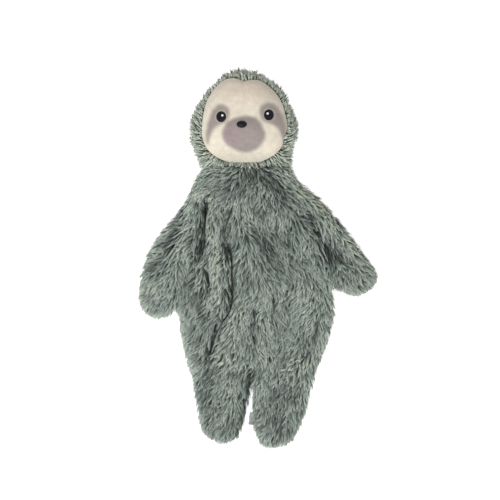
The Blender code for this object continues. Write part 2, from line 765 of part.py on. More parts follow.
def build():
    clear_scene()
    fur = fabric("long_pile_fur", (0.205, 0.245, 0.220), 0.95)
    face_cloth = fabric("face_cloth", (0.760, 0.690, 0.580), 0.90)
    black_thread = fabric("black_thread", (0.012, 0.011, 0.012), 0.45)
    white_thread = fabric("white_thread", (0.900, 0.900, 0.900), 0.50)
    fibre = fabric("fibre_filling", (0.880, 0.880, 0.860), 1.00)
    seam_cloth = fabric("seam_allowance", (0.150, 0.180, 0.165), 0.95)
    label_ribbon = fabric("label_ribbon", (0.560, 0.530, 0.500), 0.60)

    root = bpy.data.objects.new("toy_frame", None)
    bpy.context.scene.collection.objects.link(root)
    place = make_bodies(root)
    neck_room = make_seams(place, seam_cloth)
    make_torso(place, fur)

    right_arm = arm_grid(RIGHT_ARM_SEAM, RIGHT_ARM_SHARES, RIGHT_ARM_LENGTH, RIGHT_ARM_WIDTH)
    left_arm = arm_grid(LEFT_ARM_SEAM, LEFT_ARM_SHARES, LEFT_ARM_LENGTH, LEFT_ARM_WIDTH)
    right_leg = leg_grid(*RIGHT_HIP_SEAM[::-1], RIGHT_LEG_SHARES, RIGHT_LEG_LENGTH)
    left_leg = leg_grid(*LEFT_HIP_SEAM, LEFT_LEG_SHARES, LEFT_LEG_LENGTH)
    make_limb("arm_right", place, fur, right_arm, RIGHT_ARM_SEAM, ARM_FRONT_RISE, ARM_EDGE_ROUND)
    make_limb("arm_left", place, fur, left_arm, LEFT_ARM_SEAM, ARM_FRONT_RISE, ARM_EDGE_ROUND)
    make_limb("leg_right", place, fur, right_leg, RIGHT_HIP_SEAM, LEG_FRONT_RISE, LEG_EDGE_ROUND)
    make_limb("leg_left", place, fur, left_leg, LEFT_HIP_SEAM, LEG_FRONT_RISE, LEG_EDGE_ROUND)
    place("sewn_in_label", label_at(left_leg), label_ribbon, "leg_left")

    make_head(place, fur, face_cloth, fibre, neck_room)
    make_embroidery(place, black_thread, white_thread)
    centre_on_origin(root)


def centre_on_origin(root):
    """Moves the whole toy so that the middle of its underside is the origin."""
    bpy.context.view_layer.update()
    corners = []
    for item in bpy.data.objects:
        if item.type == "MESH" and not item.hide_render:
            corners += [item.matrix_world @ vertex.co for vertex in item.data.vertices]
    low = Vector(min(c[k] for c in corners) for k in range(3))
    high = Vector(max(c[k] for c in corners) for k in range(3))
    root.location = (-(low.x + high.x) / 2, -(low.y + high.y) / 2, -low.z)


build()
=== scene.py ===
"""Looks of a plush sloth that lies on its back: long-pile body and hood, smooth face, stitched eyes and nose.

Lengths are in millimetres, apart from the materials' and the studio's, which are in metres like the scene.
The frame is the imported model's. A side is 1 for the front, which faces up, and -1 for the back.
"""

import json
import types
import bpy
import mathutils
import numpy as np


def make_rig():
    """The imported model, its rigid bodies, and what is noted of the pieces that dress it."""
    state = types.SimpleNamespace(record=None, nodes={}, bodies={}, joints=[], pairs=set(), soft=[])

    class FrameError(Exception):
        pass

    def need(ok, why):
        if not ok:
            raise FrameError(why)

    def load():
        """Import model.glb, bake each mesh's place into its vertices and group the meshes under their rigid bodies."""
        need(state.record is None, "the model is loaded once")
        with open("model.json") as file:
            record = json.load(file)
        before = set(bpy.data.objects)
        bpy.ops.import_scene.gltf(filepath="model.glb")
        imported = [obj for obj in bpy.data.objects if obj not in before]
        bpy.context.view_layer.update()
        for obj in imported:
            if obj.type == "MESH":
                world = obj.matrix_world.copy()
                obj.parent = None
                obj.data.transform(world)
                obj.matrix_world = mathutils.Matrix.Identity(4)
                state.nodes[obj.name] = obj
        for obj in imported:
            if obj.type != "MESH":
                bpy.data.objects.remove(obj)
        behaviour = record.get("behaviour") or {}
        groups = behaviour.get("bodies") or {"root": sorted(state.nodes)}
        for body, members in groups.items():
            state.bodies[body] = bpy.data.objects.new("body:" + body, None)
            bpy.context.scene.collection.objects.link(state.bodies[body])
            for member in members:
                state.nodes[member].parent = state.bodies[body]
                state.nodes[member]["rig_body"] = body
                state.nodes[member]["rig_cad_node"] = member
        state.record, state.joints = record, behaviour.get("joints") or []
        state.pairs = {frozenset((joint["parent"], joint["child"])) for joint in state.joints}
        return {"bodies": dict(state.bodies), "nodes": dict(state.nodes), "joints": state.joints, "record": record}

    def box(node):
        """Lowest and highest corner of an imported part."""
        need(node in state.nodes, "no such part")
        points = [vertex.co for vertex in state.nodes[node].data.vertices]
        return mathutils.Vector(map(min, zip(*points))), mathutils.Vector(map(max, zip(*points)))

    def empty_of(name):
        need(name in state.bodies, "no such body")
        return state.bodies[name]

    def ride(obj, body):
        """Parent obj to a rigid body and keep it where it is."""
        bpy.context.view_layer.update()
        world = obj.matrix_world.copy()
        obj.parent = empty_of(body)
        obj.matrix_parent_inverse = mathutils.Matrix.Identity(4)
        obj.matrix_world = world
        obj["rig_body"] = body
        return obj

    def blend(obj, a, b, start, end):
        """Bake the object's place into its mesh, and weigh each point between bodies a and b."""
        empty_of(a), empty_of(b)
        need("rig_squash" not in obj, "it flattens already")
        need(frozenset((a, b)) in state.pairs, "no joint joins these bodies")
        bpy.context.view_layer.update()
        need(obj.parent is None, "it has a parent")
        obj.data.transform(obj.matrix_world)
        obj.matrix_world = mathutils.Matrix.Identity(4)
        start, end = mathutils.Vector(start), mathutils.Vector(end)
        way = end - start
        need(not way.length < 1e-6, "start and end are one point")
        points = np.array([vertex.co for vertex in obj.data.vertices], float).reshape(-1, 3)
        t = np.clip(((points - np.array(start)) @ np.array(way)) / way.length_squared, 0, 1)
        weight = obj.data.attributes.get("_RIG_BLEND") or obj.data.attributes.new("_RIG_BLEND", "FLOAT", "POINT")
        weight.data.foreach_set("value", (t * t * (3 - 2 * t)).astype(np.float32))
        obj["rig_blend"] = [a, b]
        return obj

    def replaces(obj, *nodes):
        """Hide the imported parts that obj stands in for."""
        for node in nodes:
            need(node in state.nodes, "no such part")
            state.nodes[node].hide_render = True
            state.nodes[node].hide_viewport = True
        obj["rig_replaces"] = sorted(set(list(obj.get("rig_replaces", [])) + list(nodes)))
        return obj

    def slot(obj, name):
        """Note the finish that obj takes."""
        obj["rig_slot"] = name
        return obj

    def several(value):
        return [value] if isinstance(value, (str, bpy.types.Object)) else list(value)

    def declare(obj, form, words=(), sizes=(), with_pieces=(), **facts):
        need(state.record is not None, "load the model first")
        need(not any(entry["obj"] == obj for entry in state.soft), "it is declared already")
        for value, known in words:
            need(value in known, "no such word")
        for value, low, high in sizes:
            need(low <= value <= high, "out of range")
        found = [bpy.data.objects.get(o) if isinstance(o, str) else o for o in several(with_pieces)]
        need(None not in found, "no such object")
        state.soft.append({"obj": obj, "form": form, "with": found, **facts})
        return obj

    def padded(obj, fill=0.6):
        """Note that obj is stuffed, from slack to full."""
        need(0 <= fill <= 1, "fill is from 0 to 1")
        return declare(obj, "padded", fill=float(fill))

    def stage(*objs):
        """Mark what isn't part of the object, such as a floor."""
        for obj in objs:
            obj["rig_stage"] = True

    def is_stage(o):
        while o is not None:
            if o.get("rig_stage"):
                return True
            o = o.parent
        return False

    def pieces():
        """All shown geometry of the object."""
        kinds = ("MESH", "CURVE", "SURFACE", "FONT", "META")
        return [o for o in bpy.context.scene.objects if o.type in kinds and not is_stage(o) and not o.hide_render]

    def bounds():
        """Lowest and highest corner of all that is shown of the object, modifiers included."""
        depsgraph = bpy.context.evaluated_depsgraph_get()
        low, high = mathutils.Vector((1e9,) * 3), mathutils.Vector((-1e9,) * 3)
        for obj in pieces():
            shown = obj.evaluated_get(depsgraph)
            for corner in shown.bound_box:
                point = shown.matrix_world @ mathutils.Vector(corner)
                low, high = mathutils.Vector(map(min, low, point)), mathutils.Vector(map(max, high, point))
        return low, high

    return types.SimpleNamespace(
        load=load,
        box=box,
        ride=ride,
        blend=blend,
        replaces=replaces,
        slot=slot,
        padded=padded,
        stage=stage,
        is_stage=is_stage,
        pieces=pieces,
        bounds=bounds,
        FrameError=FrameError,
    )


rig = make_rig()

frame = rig.load()
cad_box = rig.bounds()

import json
import math

import bpy
import numpy as np
from mathutils import Vector

MM = 0.001
random = np.random.default_rng(20)

# outline of the whole body with its pile, seen from above
BODY_OUTLINE = [
    (-47, 112), (-52, 100), (-55.8, 88.8), (-62.4, 79), (-70.3, 61.2), (-75, 52.6), (-88.5, 36.2),
    (-102.6, 17.4), (-112.7, -3), (-116.9, -18.3), (-118.6, -33.6), (-117.4, -46.7), (-111, -55.3),
    (-100, -59.8), (-88.4, -57), (-82.1, -51.8), (-78.8, -58), (-77, -72), (-71.8, -100.2), (-66.5, -114.5),
    (-63.6, -132.7), (-60.3, -151.9), (-58.2, -165.3), (-54.2, -174.8), (-45.3, -181.1), (-34.9, -184.4),
    (-24.4, -181.5), (-18.7, -176.8), (-14.8, -162.4), (-10.5, -146.3), (-7.2, -130.2), (-4.6, -138.5),
    (-5.6, -152.8), (-4.3, -169.1), (-1.4, -176.8), (3.3, -185.6), (12.9, -188.7), (29, -186), (37.8, -177),
    (42.7, -165.2), (48.5, -152), (51.5, -134), (55.2, -125), (57.4, -116.5), (62.3, -103), (67.5, -89.7),
    (72.9, -70), (76, -57), (75.6, -43.8), (74.3, -31.2), (83.4, -32.6), (91, -36.3), (99.6, -36.6),
    (108, -33.6), (116.2, -26.4), (119.6, -18), (116.1, -11.1), (109.8, -1.9), (97, 15.9), (83.7, 33.4),
    (71.2, 48.8), (59.1, 61.9), (46.6, 72.1), (38.9, 78.4), (33.8, 88), (33, 95), (30.5, 102), (27, 112),
]
# creases of the fabric: depth, width, reach of the shade on the right of the path, and path
CREASES = [
    (7.8, 3, 5.5, [(-50.3, 58), (-50.6, 49), (-52.2, 37.5), (-52.8, 25), (-53.2, 12), (-57, 3)]),
    (8.6, 2.4, 5, [(-28.5, 15), (-26, -1), (-26.4, -13), (-25.8, -28), (-25.6, -43),
     (-27.2, -51), (-31, -58), (-36.6, -66), (-42.2, -77), (-45.5, -87), (-48, -98)]),
    (4, 2.2, 4.5, [(-52, -10), (-48.8, -18.4), (-48, -25.6), (-49.8, -34)]),
    (4.5, 2.6, 5, [(78.5, -35), (75.5, -24), (72.4, -14), (69.7, 1), (66, 11), (62, 20.5)]),
    (1.9, 2, 2, [(-5, -108), (-6, -118), (-7.6, -133)]), (2.4, 2, 3, [(-1, -50), (-2, -68), (-1.5, -86)]),
    (1.4, 2.4, 3.4, [(51, -92), (37, -101), (24, -111)]),
]
# hollows and ridges of the fabric: rise, width and path
RELIEF = [
    (-2.6, 5.5, [(-58, 16), (-60, 6)]), (-2, 4.5, [(-62, 0), (-70, -25), (-80, -46)]),
    (-2.2, 5.5, [(-57, -36), (-56, -46)]), (-3, 6.5, [(-49, -98), (-51, -118), (-50, -146)]),
    (-1.7, 8.5, [(0, 26), (12, 4), (26, -16)]), (-3.2, 6, [(-3, 85), (7, 81), (15, 75)]),
    (-3.2, 3.2, [(21.5, 70), (24.5, 63)]), (-6, 2.7, [(50.5, 45), (55, 37.5)]),
    (-6.5, 3, [(58, 30), (61.5, 23)]), (-3.2, 4.6, [(-32, 48), (-34, 24), (-31, 10)]),
    (-1.6, 7, [(8, 44), (12, 34)]), (-2, 7, [(-24, 70), (-8, 72), (-4, 54)]),
    (-1.4, 13, [(22, -84), (34, -62)]), (-1.4, 10, [(-58, -58), (-64, -76)]),
    (1.2, 6, [(54, -98), (44, -112)]), (-0.8, 4.5, [(-22, -110), (-14, -109)]),
    (-1, 4.5, [(5, -114), (14, -119)]), (-1.8, 7, [(-55, 78), (-43, 73)]),
    (-1.6, 7, [(-36, -170), (-44, -176)]), (-1.6, 5, [(44, -148), (39, -170)]),
    (1.7, 3.5, [(-46.5, 62), (-47.5, 42)]), (1.6, 5, [(-57, -14), (-62, -24)]),
    (1.6, 5, [(-62, -112), (-58, -128)]), (-2, 7, [(56, -74), (50, -92)]),
    (-3, 5, [(69, 7), (80, 0), (89, -2)]), (-2, 10, [(22, -134), (18, -168)]),
    (-4.4, 4.8, [(-75, 48), (-80, 28), (-88, 12)]), (-1.6, 6, [(-90, 8), (-99, -8)]),
    (-4, 3.4, [(-8.6, -121), (-12, -140), (-16, -160)]), (-1.2, 5, [(39, 58), (50, 34), (57, 10)]),
    (-1.5, 6, [(-6, 30), (-2, 12)]), (2.4, 5.5, [(-45, 66), (-45, 30), (-41, -10), (-40, -44)]),
    (2.4, 4.5, [(-70, 56), (-74, 30), (-80, 13), (-85, -2)]),
    (2.6, 8.5, [(-18, -52), (-24, -76), (-32, -100)]), (2.4, 7.5, [(6, -56), (8, -78), (6, -92)]),
    (1.8, 9, [(48, -40), (50, -62)]), (1.6, 5, [(50, -100), (37, -109), (24, -118)]),
    (2.6, 6, [(-32, -101), (-10, -104)]), (3, 9, [(44, 70), (62, 52), (82, 28), (104, -6)]),
    (1.8, 8, [(-6, 66), (-12, 44), (-12, 0)]), (1.6, 7, [(-30, -124), (-30, -150)]),
    (1.6, 6, [(32, 82), (44, 66)]),
]
# where the pile points, seen from above: x, y and degrees from +x
NAP_GUIDES = [
    (-84, 33, -160), (-97, 12, -155), (-110, -13, -160), (-116, -39, -145), (-102, -49, -125),
    (-94, -29, -140), (-68, 48, -108), (-70, 22, -115), (-75, 7, -125), (-73, -13, -95), (-87, -23, -140),
    (-82, -42, -115), (-46, 43, -104), (-43, 17, -108), (-57, -13, -125), (-67, -44, -120), (-41, -8, -96),
    (-36, -39, -84), (-46, -44, -108), (-57, -70, -110), (-73, -64, -122), (-21, 12, -122), (-18, -8, -118),
    (-20, -34, -118), (-26, -59, -126), (-36, -73, -120), (-6, 33, -76), (-6, 12, -72), (5, 17, -60),
    (10, -13, -56), (-6, -13, -88), (-11, -49, -95), (5, -49, -90), (20, -54, -82), (20, 17, -84),
    (25, 38, -85), (13, 53, -98), (-11, 53, -86), (-31, 58, -118), (-48, 68, -150), (-62, 63, -118),
    (1, 62, -95), (32, 71, -38), (46, 57, -46), (56, 44, -56), (68, 48, -46), (68, 33, -66), (77, 21, -64),
    (90, 17, -52), (86, -1, -70), (104, -1, -56), (90, -23, -68), (104, -23, -62), (112, -14, -52),
    (80, -23, -76), (28, 35, -90), (41, 17, -94), (28, -1, -85), (54, -1, -90), (59, -23, -78),
    (46, -32, -112), (68, -37, -85), (19, -36, -94), (-72, -91, -125), (-59, -86, -114), (-35, -91, -124),
    (-21, -86, -110), (-6, -86, -90), (6, -86, -80), (32, -86, -112), (51, -81, -116), (66, -86, -85),
    (-64, -124, -102), (-45, -115, -120), (-25, -119, -120), (-11, -115, -110), (-30, -143, -120),
    (-49, -143, -110), (-40, -162, -114), (-21, -158, -102), (3, -119, -114), (18, -115, -114),
    (32, -115, -124), (46, -115, -108), (54, -115, -86), (3, -148, -92), (18, -148, -86), (32, -148, -90),
    (44, -153, -80), (8, -172, -98), (32, -172, -76),
]
REGIONS = ["torso", "arm_right", "arm_left", "leg_right", "leg_left", "neck"]
# the way that each seam runs, seen from above
SEAM_WAYS = {
    "neck_seam": (1, 0), "arm_right_seam": (-1, -1), "arm_left_seam": (1, -1),
    "leg_right_seam": (1, 0), "leg_left_seam": (1, 0),
}


def smooth_closed(points, count):
    """count places on a closed Catmull-Rom curve through the points."""
    p = np.array(points, float)
    along = np.arange(count) * len(p) / count
    i = along.astype(int)
    t = (along - i)[:, None]
    a, b, c, d = (p[(i + k) % len(p)] for k in (-1, 0, 1, 2))
    return 0.5 * (2 * b + (c - a) * t + (2 * a - 5 * b + 4 * c - d) * t**2 + (3 * b - a - 3 * c + d) * t**3)


def beside_path(xy, path):
    """Distance of places to a path, whether they lie on its right, and how far they are from its ends."""
    best, along, done = np.full(len(xy), np.inf), np.zeros(len(xy)), 0.0
    right = along > 0
    for a, b in zip(np.array(path, float), np.array(path[1:], float)):
        ab = b - a
        length = np.hypot(*ab)
        t = np.clip(((xy - a) @ ab) / length**2, 0, 1)
        off = xy - a - t[:, None] * ab
        far = np.hypot(*off.T)
        nearer = far < best
        best = np.where(nearer, far, best)
        right = np.where(nearer, ab[0] * off[:, 1] - ab[1] * off[:, 0] < 0, right)
        along = np.where(nearer, done + t * length, along)
        done += length
    return best, right, np.minimum(along, done - along)


def signed_distance(xy, outline):
    """Distance of every place to a closed outline, positive inside."""
    closed = np.vstack([outline, outline[:1]])
    inside = np.zeros(len(xy), bool)
    x, y = xy.T
    for (x0, y0), (x1, y1) in zip(closed, closed[1:]):
        if y1 != y0:
            inside ^= ((y0 > y) != (y1 > y)) & (x < (x1 - x0) * (y - y0) / (y1 - y0) + x0)
    return np.where(inside, 1, -1) * beside_path(xy, closed)[0]


WAVES, WAVE_TURN = 14, 2.2


def wavy(xyz, layers):
    """A smooth random field over places, from layers of seed, size of the lumps and height."""
    total = np.zeros(len(xyz))
    for seed, size, height in layers:
        source = np.random.default_rng(seed)
        ways = source.normal(size=(WAVES, 3)) * (WAVE_TURN / size)
        phases = source.uniform(0, math.tau, WAVES)
        lumps = sum(np.sin(xyz @ way[:xyz.shape[1]] + phase) for way, phase in zip(ways, phases))
        total += lumps / math.sqrt(WAVES) * height
    return total


def swell(share, power=2.2):
    """Height of a dome from its middle, at share 0, to its edge."""
    return (1 - np.clip(share, 0, 1) ** power) ** (1 / power)


def bell(share):
    return np.exp(-(share**2))


def between(low, high, share):
    return low + (high - low) * share


def climb(x, start, end):
    """0 up to the start, 1 from the end on, and evenly between."""
    return np.clip((x - start) / (end - start), 0, 1)


def apart(xy, middle, half=1):
    """Distance of places from a middle, where half a size counts as 1."""
    return np.hypot(*((xy - middle) / half).T)


def unit(v):
    return v / (np.linalg.norm(v, axis=-1, keepdims=True) + 1e-9)


def turned(way, side, angle):
    """Ways, each turned towards its side by an angle."""
    return way * np.cos(angle)[:, None] + side * np.sin(angle)[:, None]


def circle(angle):
    return np.stack([np.cos(angle), np.sin(angle)], 1)


RASTER_LOW, RASTER_HIGH, BODY_OUTLINE_COUNT = np.array([-136, -204]), np.array([136, 112]), 420
raster_grid = np.meshgrid(*(np.arange(low, high + 1.0) for low, high in zip(RASTER_LOW, RASTER_HIGH)))
raster = np.stack([part.ravel() for part in raster_grid], 1)
raster_x, raster_y = raster.T


class Field:
    """Values on a raster of 1 mm over the body, read between its places."""

    def __init__(self, values):
        self.values = values.reshape(raster_grid[0].shape)

    def __call__(self, xy):
        v = self.values
        x, y = np.clip(xy - RASTER_LOW, 0, np.array(v.shape)[::-1] - 1.001).T
        i, j = x.astype(int), y.astype(int)
        fx, fy = x - i, y - j
        return (v[j, i] * (1 - fx) * (1 - fy) + v[j, i + 1] * fx * (1 - fy)
                + v[j + 1, i] * (1 - fx) * fy + v[j + 1, i + 1] * fx * fy)

    def slope(self):
        """A function that gives the way up the field at places, by how much it rises in 1 mm."""
        return vectors(*np.gradient(self.values)[::-1])


def vectors(*parts):
    """A function that reads a vector at places, with one field for each of its parts."""
    fields = [Field(part) for part in parts]
    return lambda xy: np.stack([field(xy) for field in fields], 1)


inside_by = signed_distance(raster, smooth_closed(BODY_OUTLINE, BODY_OUTLINE_COUNT))
edge = Field(inside_by)
edge_slope = edge.slope()


# which body a place of the fabric belongs to, and where the fabric bends
def box_mm(name):
    """The low and the high corner of a CAD node's box."""
    return [np.array(corner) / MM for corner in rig.box(name)]


def middle_half(name):
    """The middle of a CAD node's box and half its size, seen from above."""
    low, high = box_mm(name)
    return (low + high)[:2] / 2, (high - low)[:2] / 2


def seam_ends(name):
    middle, half = middle_half(name)
    return middle - half * SEAM_WAYS[name], middle + half * SEAM_WAYS[name]


SEWING_HEIGHT = 13.0
NECK, HIP_Y, CROTCH_X = middle_half("neck_seam")[0], middle_half("leg_right_seam")[0][1], -7.8
# where the fabric starts and stops to bend: out from an arm's seam, and up from the hips and the neck
BENDS = {"arm": (-8.0, 14.0), "leg": (8.0, -18.0), "neck": (-9.0, 7.0)}
ARM_FROM, ARM_BELOW = 0.5, 2


def arm_ways(arm):
    """The ends of an arm's seam, the way along it, and the way out to the arm."""
    top, end = seam_ends(arm + "_seam")
    along = (end - top) / math.dist(top, end)
    return top, end, along, np.array([along[1], -along[0]]) * (1 if arm == "arm_right" else -1)


def region_of(xy):
    """Index in REGIONS of the piece of fabric that each place belongs to."""
    found = np.zeros(len(xy), int)
    legs = xy[:, 1] < HIP_Y + BENDS["leg"][0]
    found[legs & (xy[:, 0] < CROTCH_X)] = REGIONS.index("leg_right")
    found[legs & (xy[:, 0] >= CROTCH_X)] = REGIONS.index("leg_left")
    for arm in ("arm_right", "arm_left"):
        top, end, along, out = arm_ways(arm)
        outside = (xy - top) @ out
        below = (outside > BENDS["arm"][0]) & ((xy - end) @ along < ARM_BELOW)
        found[((outside > ARM_FROM) | below) & ~legs] = REGIONS.index(arm)
    found[xy[:, 1] > NECK[1] + BENDS["neck"][0]] = REGIONS.index("neck")
    return found


def bend(piece, region):
    """Makes a piece of the body's fabric ride on its body, or bend over its joint."""
    if region == "torso":
        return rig.ride(piece, "torso")
    limb = region.split("_")[0]
    if limb == "arm":
        top, end, _, way = arm_ways(region)
        seam = (top + end) / 2
    else:
        seam, way = np.array([0, NECK[1] if limb == "neck" else HIP_Y]), np.array([0, 1])
    start, stop = ((*((seam + way * far) * MM), SEWING_HEIGHT * MM) for far in BENDS[limb])
    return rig.blend(piece, "torso", "head" if limb == "neck" else region, start, stop)


# the way the body's pile lies
GUIDE_REACH = 9.0
EDGE_TURN, EDGE_TURN_REACH = 0.42, 6.0
RAYS_UP, RAYS_START, RAYS_FADE = 16.0, 22, 13
SWIRLS = [(11, 30, 0.22), (12, 11, 0.16)]


def nap(xy):
    """The way the pile lies over the body, seen from above."""
    total = np.zeros((len(xy), 2))
    for x, y, turn in NAP_GUIDES:
        weight = np.exp(-(np.sum((xy - (x, y)) ** 2, 1) / (2 * GUIDE_REACH**2))) + 1e-9
        total += weight[:, None] * (math.cos(math.radians(turn)), math.sin(math.radians(turn)))
    # towards the edge it turns out a little
    turn_out = EDGE_TURN * np.exp(-np.maximum(0, edge(xy)) / EDGE_TURN_REACH)
    way = unit(total) - unit(edge_slope(xy)) * turn_out[:, None]
    # round the neck it radiates
    from_neck = xy - NECK - (0, RAYS_UP)
    rays = np.exp(-np.maximum(0, np.hypot(*from_neck.T) - RAYS_START) / RAYS_FADE)[:, None]
    way = unit(way) * (1 - rays) + unit(from_neck) * rays
    return unit(turned(way, np.stack([-way[:, 1], way[:, 0]], 1), wavy(xy, SWIRLS)))


nap_ways = nap(raster)
flow = vectors(*nap_ways.T)


def streaks(seed, reach):
    """A random field of long light and dark streaks that follow the nap, about -2 to 2."""
    grain = np.random.default_rng(seed).normal(size=edge.values.shape)
    grain = Field(grain + np.roll(grain, 1, 0) + np.roll(grain, 1, 1) + np.roll(grain, (1, 1), (0, 1)))
    total = grain.values.flatten()
    for way in (-1, 1):
        at = raster.copy()
        for _ in range(reach):
            at += way * flow(at)
            total += grain(at)
    return (total - total.mean()) / total.std()


# surfaces of the slack fabric under the pile: edge, roundness, heights over and under the seams, and lumps
INSET_LEAST, INSET_BY_NAP = 1.4, 2.4
SKIN_EDGE, SKIN_ROUND, SKIN_FRONT_RISE, SKIN_BACK_RISE, SKIN_LEAST = 0.9, 27.0, 9.2, 10.6, 0.6
LUMPS = [(3, 26, 0.9), (4, 12, 0.45)]
NECK_DIP, NECK_DIP_UP, NECK_FADE = 5.2, 5, 8
# tones of the front's pile, where more is paler: over all, painted light at the rim, on the legs, and painted light at
# the neck against the head's shade
BODY_TONE, RIM_PAINTED_LIGHT, RIM_PAINTED_LIGHT_LEGS, RIM_FADE, LEGS_TONE = -0.07, 0.44, 0.14, 7.0, -0.04
# how far down the body the legs' tones start and are whole
LEGS = (-70, -130)
NECK_PAINTED_LIGHT, NECK_PAINTED_LIGHT_UP, NECK_PAINTED_LIGHT_ACROSS, NECK_PAINTED_LIGHT_LEAST = 0.42, 2, (24, -2), 0.3
PATCHES, STREAKS, STREAK_TONE = [(5, 22, 0.06)], (6, 7), 0.13
# painted shading: light on ridges and shade in hollows, and painted shade in creases
RELIEF_PAINTED_SHADING, CREASE_PAINTED_SHADE = 0.13, 0.15
CREASE_TAPER, CREASE_END, CREASE_FARTHEST = 6.0, 0.15, 99.0
SHADE_LEFT, SHADE_END, DIP_SHARE = 2.2, 0.4, 0.65
GAP_SHARE, GAP_FROM, PULL_DEPTH = 0.17, 1.8, 5

lying_out = np.clip(np.sum(nap_ways * -unit(edge_slope(raster)), 1), 0, 1)
skin = Field(inside_by - INSET_LEAST - INSET_BY_NAP * lying_out)
skin_slope = skin.slope()
full = swell(1 - np.maximum(0, skin.values.ravel()) / SKIN_ROUND)
front_rise = SKIN_EDGE + (SKIN_FRONT_RISE - SKIN_EDGE + wavy(raster, LUMPS)) * full
front_rise -= NECK_DIP * bell(np.maximum(0, NECK[1] + NECK_DIP_UP - raster_y) / NECK_FADE)
legs_share = climb(raster_y, *LEGS)
# painted light: the pile paler towards its rim, less so on the legs
rim_shading = between(RIM_PAINTED_LIGHT, RIM_PAINTED_LIGHT_LEGS, legs_share) * np.exp(-np.maximum(inside_by, 0) / RIM_FADE)
# painted light under the chin, against the shade that the head casts on the neck
neck_shading = NECK_PAINTED_LIGHT * bell((NECK[1] + NECK_PAINTED_LIGHT_UP - raster_y) / NECK_FADE)
neck_shading *= np.maximum(climb(raster_x, *NECK_PAINTED_LIGHT_ACROSS), NECK_PAINTED_LIGHT_LEAST)
shading = rim_shading + BODY_TONE + LEGS_TONE * legs_share + neck_shading
shading += wavy(raster, PATCHES) + STREAK_TONE * streaks(*STREAKS)
# hollows and ridges shape the fabric, and paint shade into hollows and light onto ridges
for rise, width, path in RELIEF:
    share = bell(beside_path(raster, path)[0] / width)
    front_rise += rise * full * share
    shading += RELIEF_PAINTED_SHADING * rise * share
crease_by = np.full(len(raster), CREASE_FARTHEST)
crease_gap, crease_pull = np.zeros(len(raster)), np.zeros(len(raster))
for depth, width, shade_reach, path in CREASES:
    away, right, from_end = beside_path(raster, path)
    taper = np.clip(from_end / CREASE_TAPER + CREASE_END, 0, 1)
    shade_width = np.where(right, shade_reach * between(SHADE_END, 1, taper), SHADE_LEFT)
    depth = depth * taper
    front_rise -= depth * full * bell(away / np.where(right, shade_width * DIP_SHARE, width))
    # painted shade along the crease, wider on its right
    shading -= CREASE_PAINTED_SHADE * depth * bell(away / shade_width)
    crease_gap = np.where(away < crease_by, GAP_SHARE * np.maximum(depth - GAP_FROM, 0), crease_gap)
    crease_pull = np.where(away < crease_by, climb(depth, 0, PULL_DEPTH), crease_pull)
    crease_by = np.minimum(crease_by, away)
crease_by, crease_gap, crease_pull = Field(crease_by), Field(crease_gap), Field(crease_pull)
crease_slope = crease_by.slope()
surface = {1: Field(np.maximum(front_rise, SKIN_LEAST)), -1: Field(between(SKIN_EDGE, SKIN_BACK_RISE, full))}
shading, rim_shading = Field(shading), Field(rim_shading)


# meshes
def linked(data):
    """A new object of the data's name in the scene."""
    made = bpy.data.objects.new(data.name, data)
    bpy.context.scene.collection.objects.link(made)
    return made


def mesh_object(name, vertices, faces, material):
    """A smooth object from vertices in millimetres and faces of vertex indices."""
    mesh = bpy.data.meshes.new(name)
    mesh.from_pydata((np.asarray(vertices, float) * MM).tolist(), [], faces)
    mesh.validate()
    mesh.materials.append(material)
    mesh.polygons.foreach_set("use_smooth", [True] * len(mesh.polygons))
    return linked(mesh)


def loft(rings):
    """Vertices and faces of a closed surface through closed rings with the same number of places each."""
    n = len(rings[0])
    faces = [tuple(range(n))[::-1], tuple(range((len(rings) - 1) * n, len(rings) * n))]
    for start in range(0, (len(rings) - 1) * n, n):
        for i in range(n):
            j = (i + 1) % n
            faces.append((start + i, start + j, start + n + j, start + n + i))
    return np.concatenate(rings), faces


# pile: locks of tapered strands
STRAND_TAPER, STRAND_FLAT, STRAND_TURNS = (1.0, 0.95, 0.66), 0.55, (90, 330, 210)
STRAND_UV = "OFBake"
# how the strands' tones and heights fill the UV square
TONE_START, TONE_SPAN, CORNER_SPAN, HEIGHT_START, HEIGHT_SPAN = 0.003, 0.985, 0.003, 0.01, 0.98


def strand_faces(rings):
    """Corners, sizes and UV places of a closed strand's faces: its root, rings of three places and a tip."""
    corners, sizes, uv = [0, 2, 1], [3], [(0, 0), (2, 0), (1, 0)]
    for ring in range(rings):
        for k in range(3):
            start, j = ring * 3, (k + 1) % 3
            if ring < rings - 1:
                corners += [start + k, start + j, start + 3 + j, start + 3 + k]
                uv += [(k, ring), (k + 1, ring), (k + 1, ring + 1), (k, ring + 1)]
                sizes.append(4)
            else:
                corners += [start + k, start + j, start + 3]
                uv += [(k, ring), (k + 1, ring), (k + 0.5, rings)]
                sizes.append(3)
    return np.array(corners), sizes, np.array(uv, float)


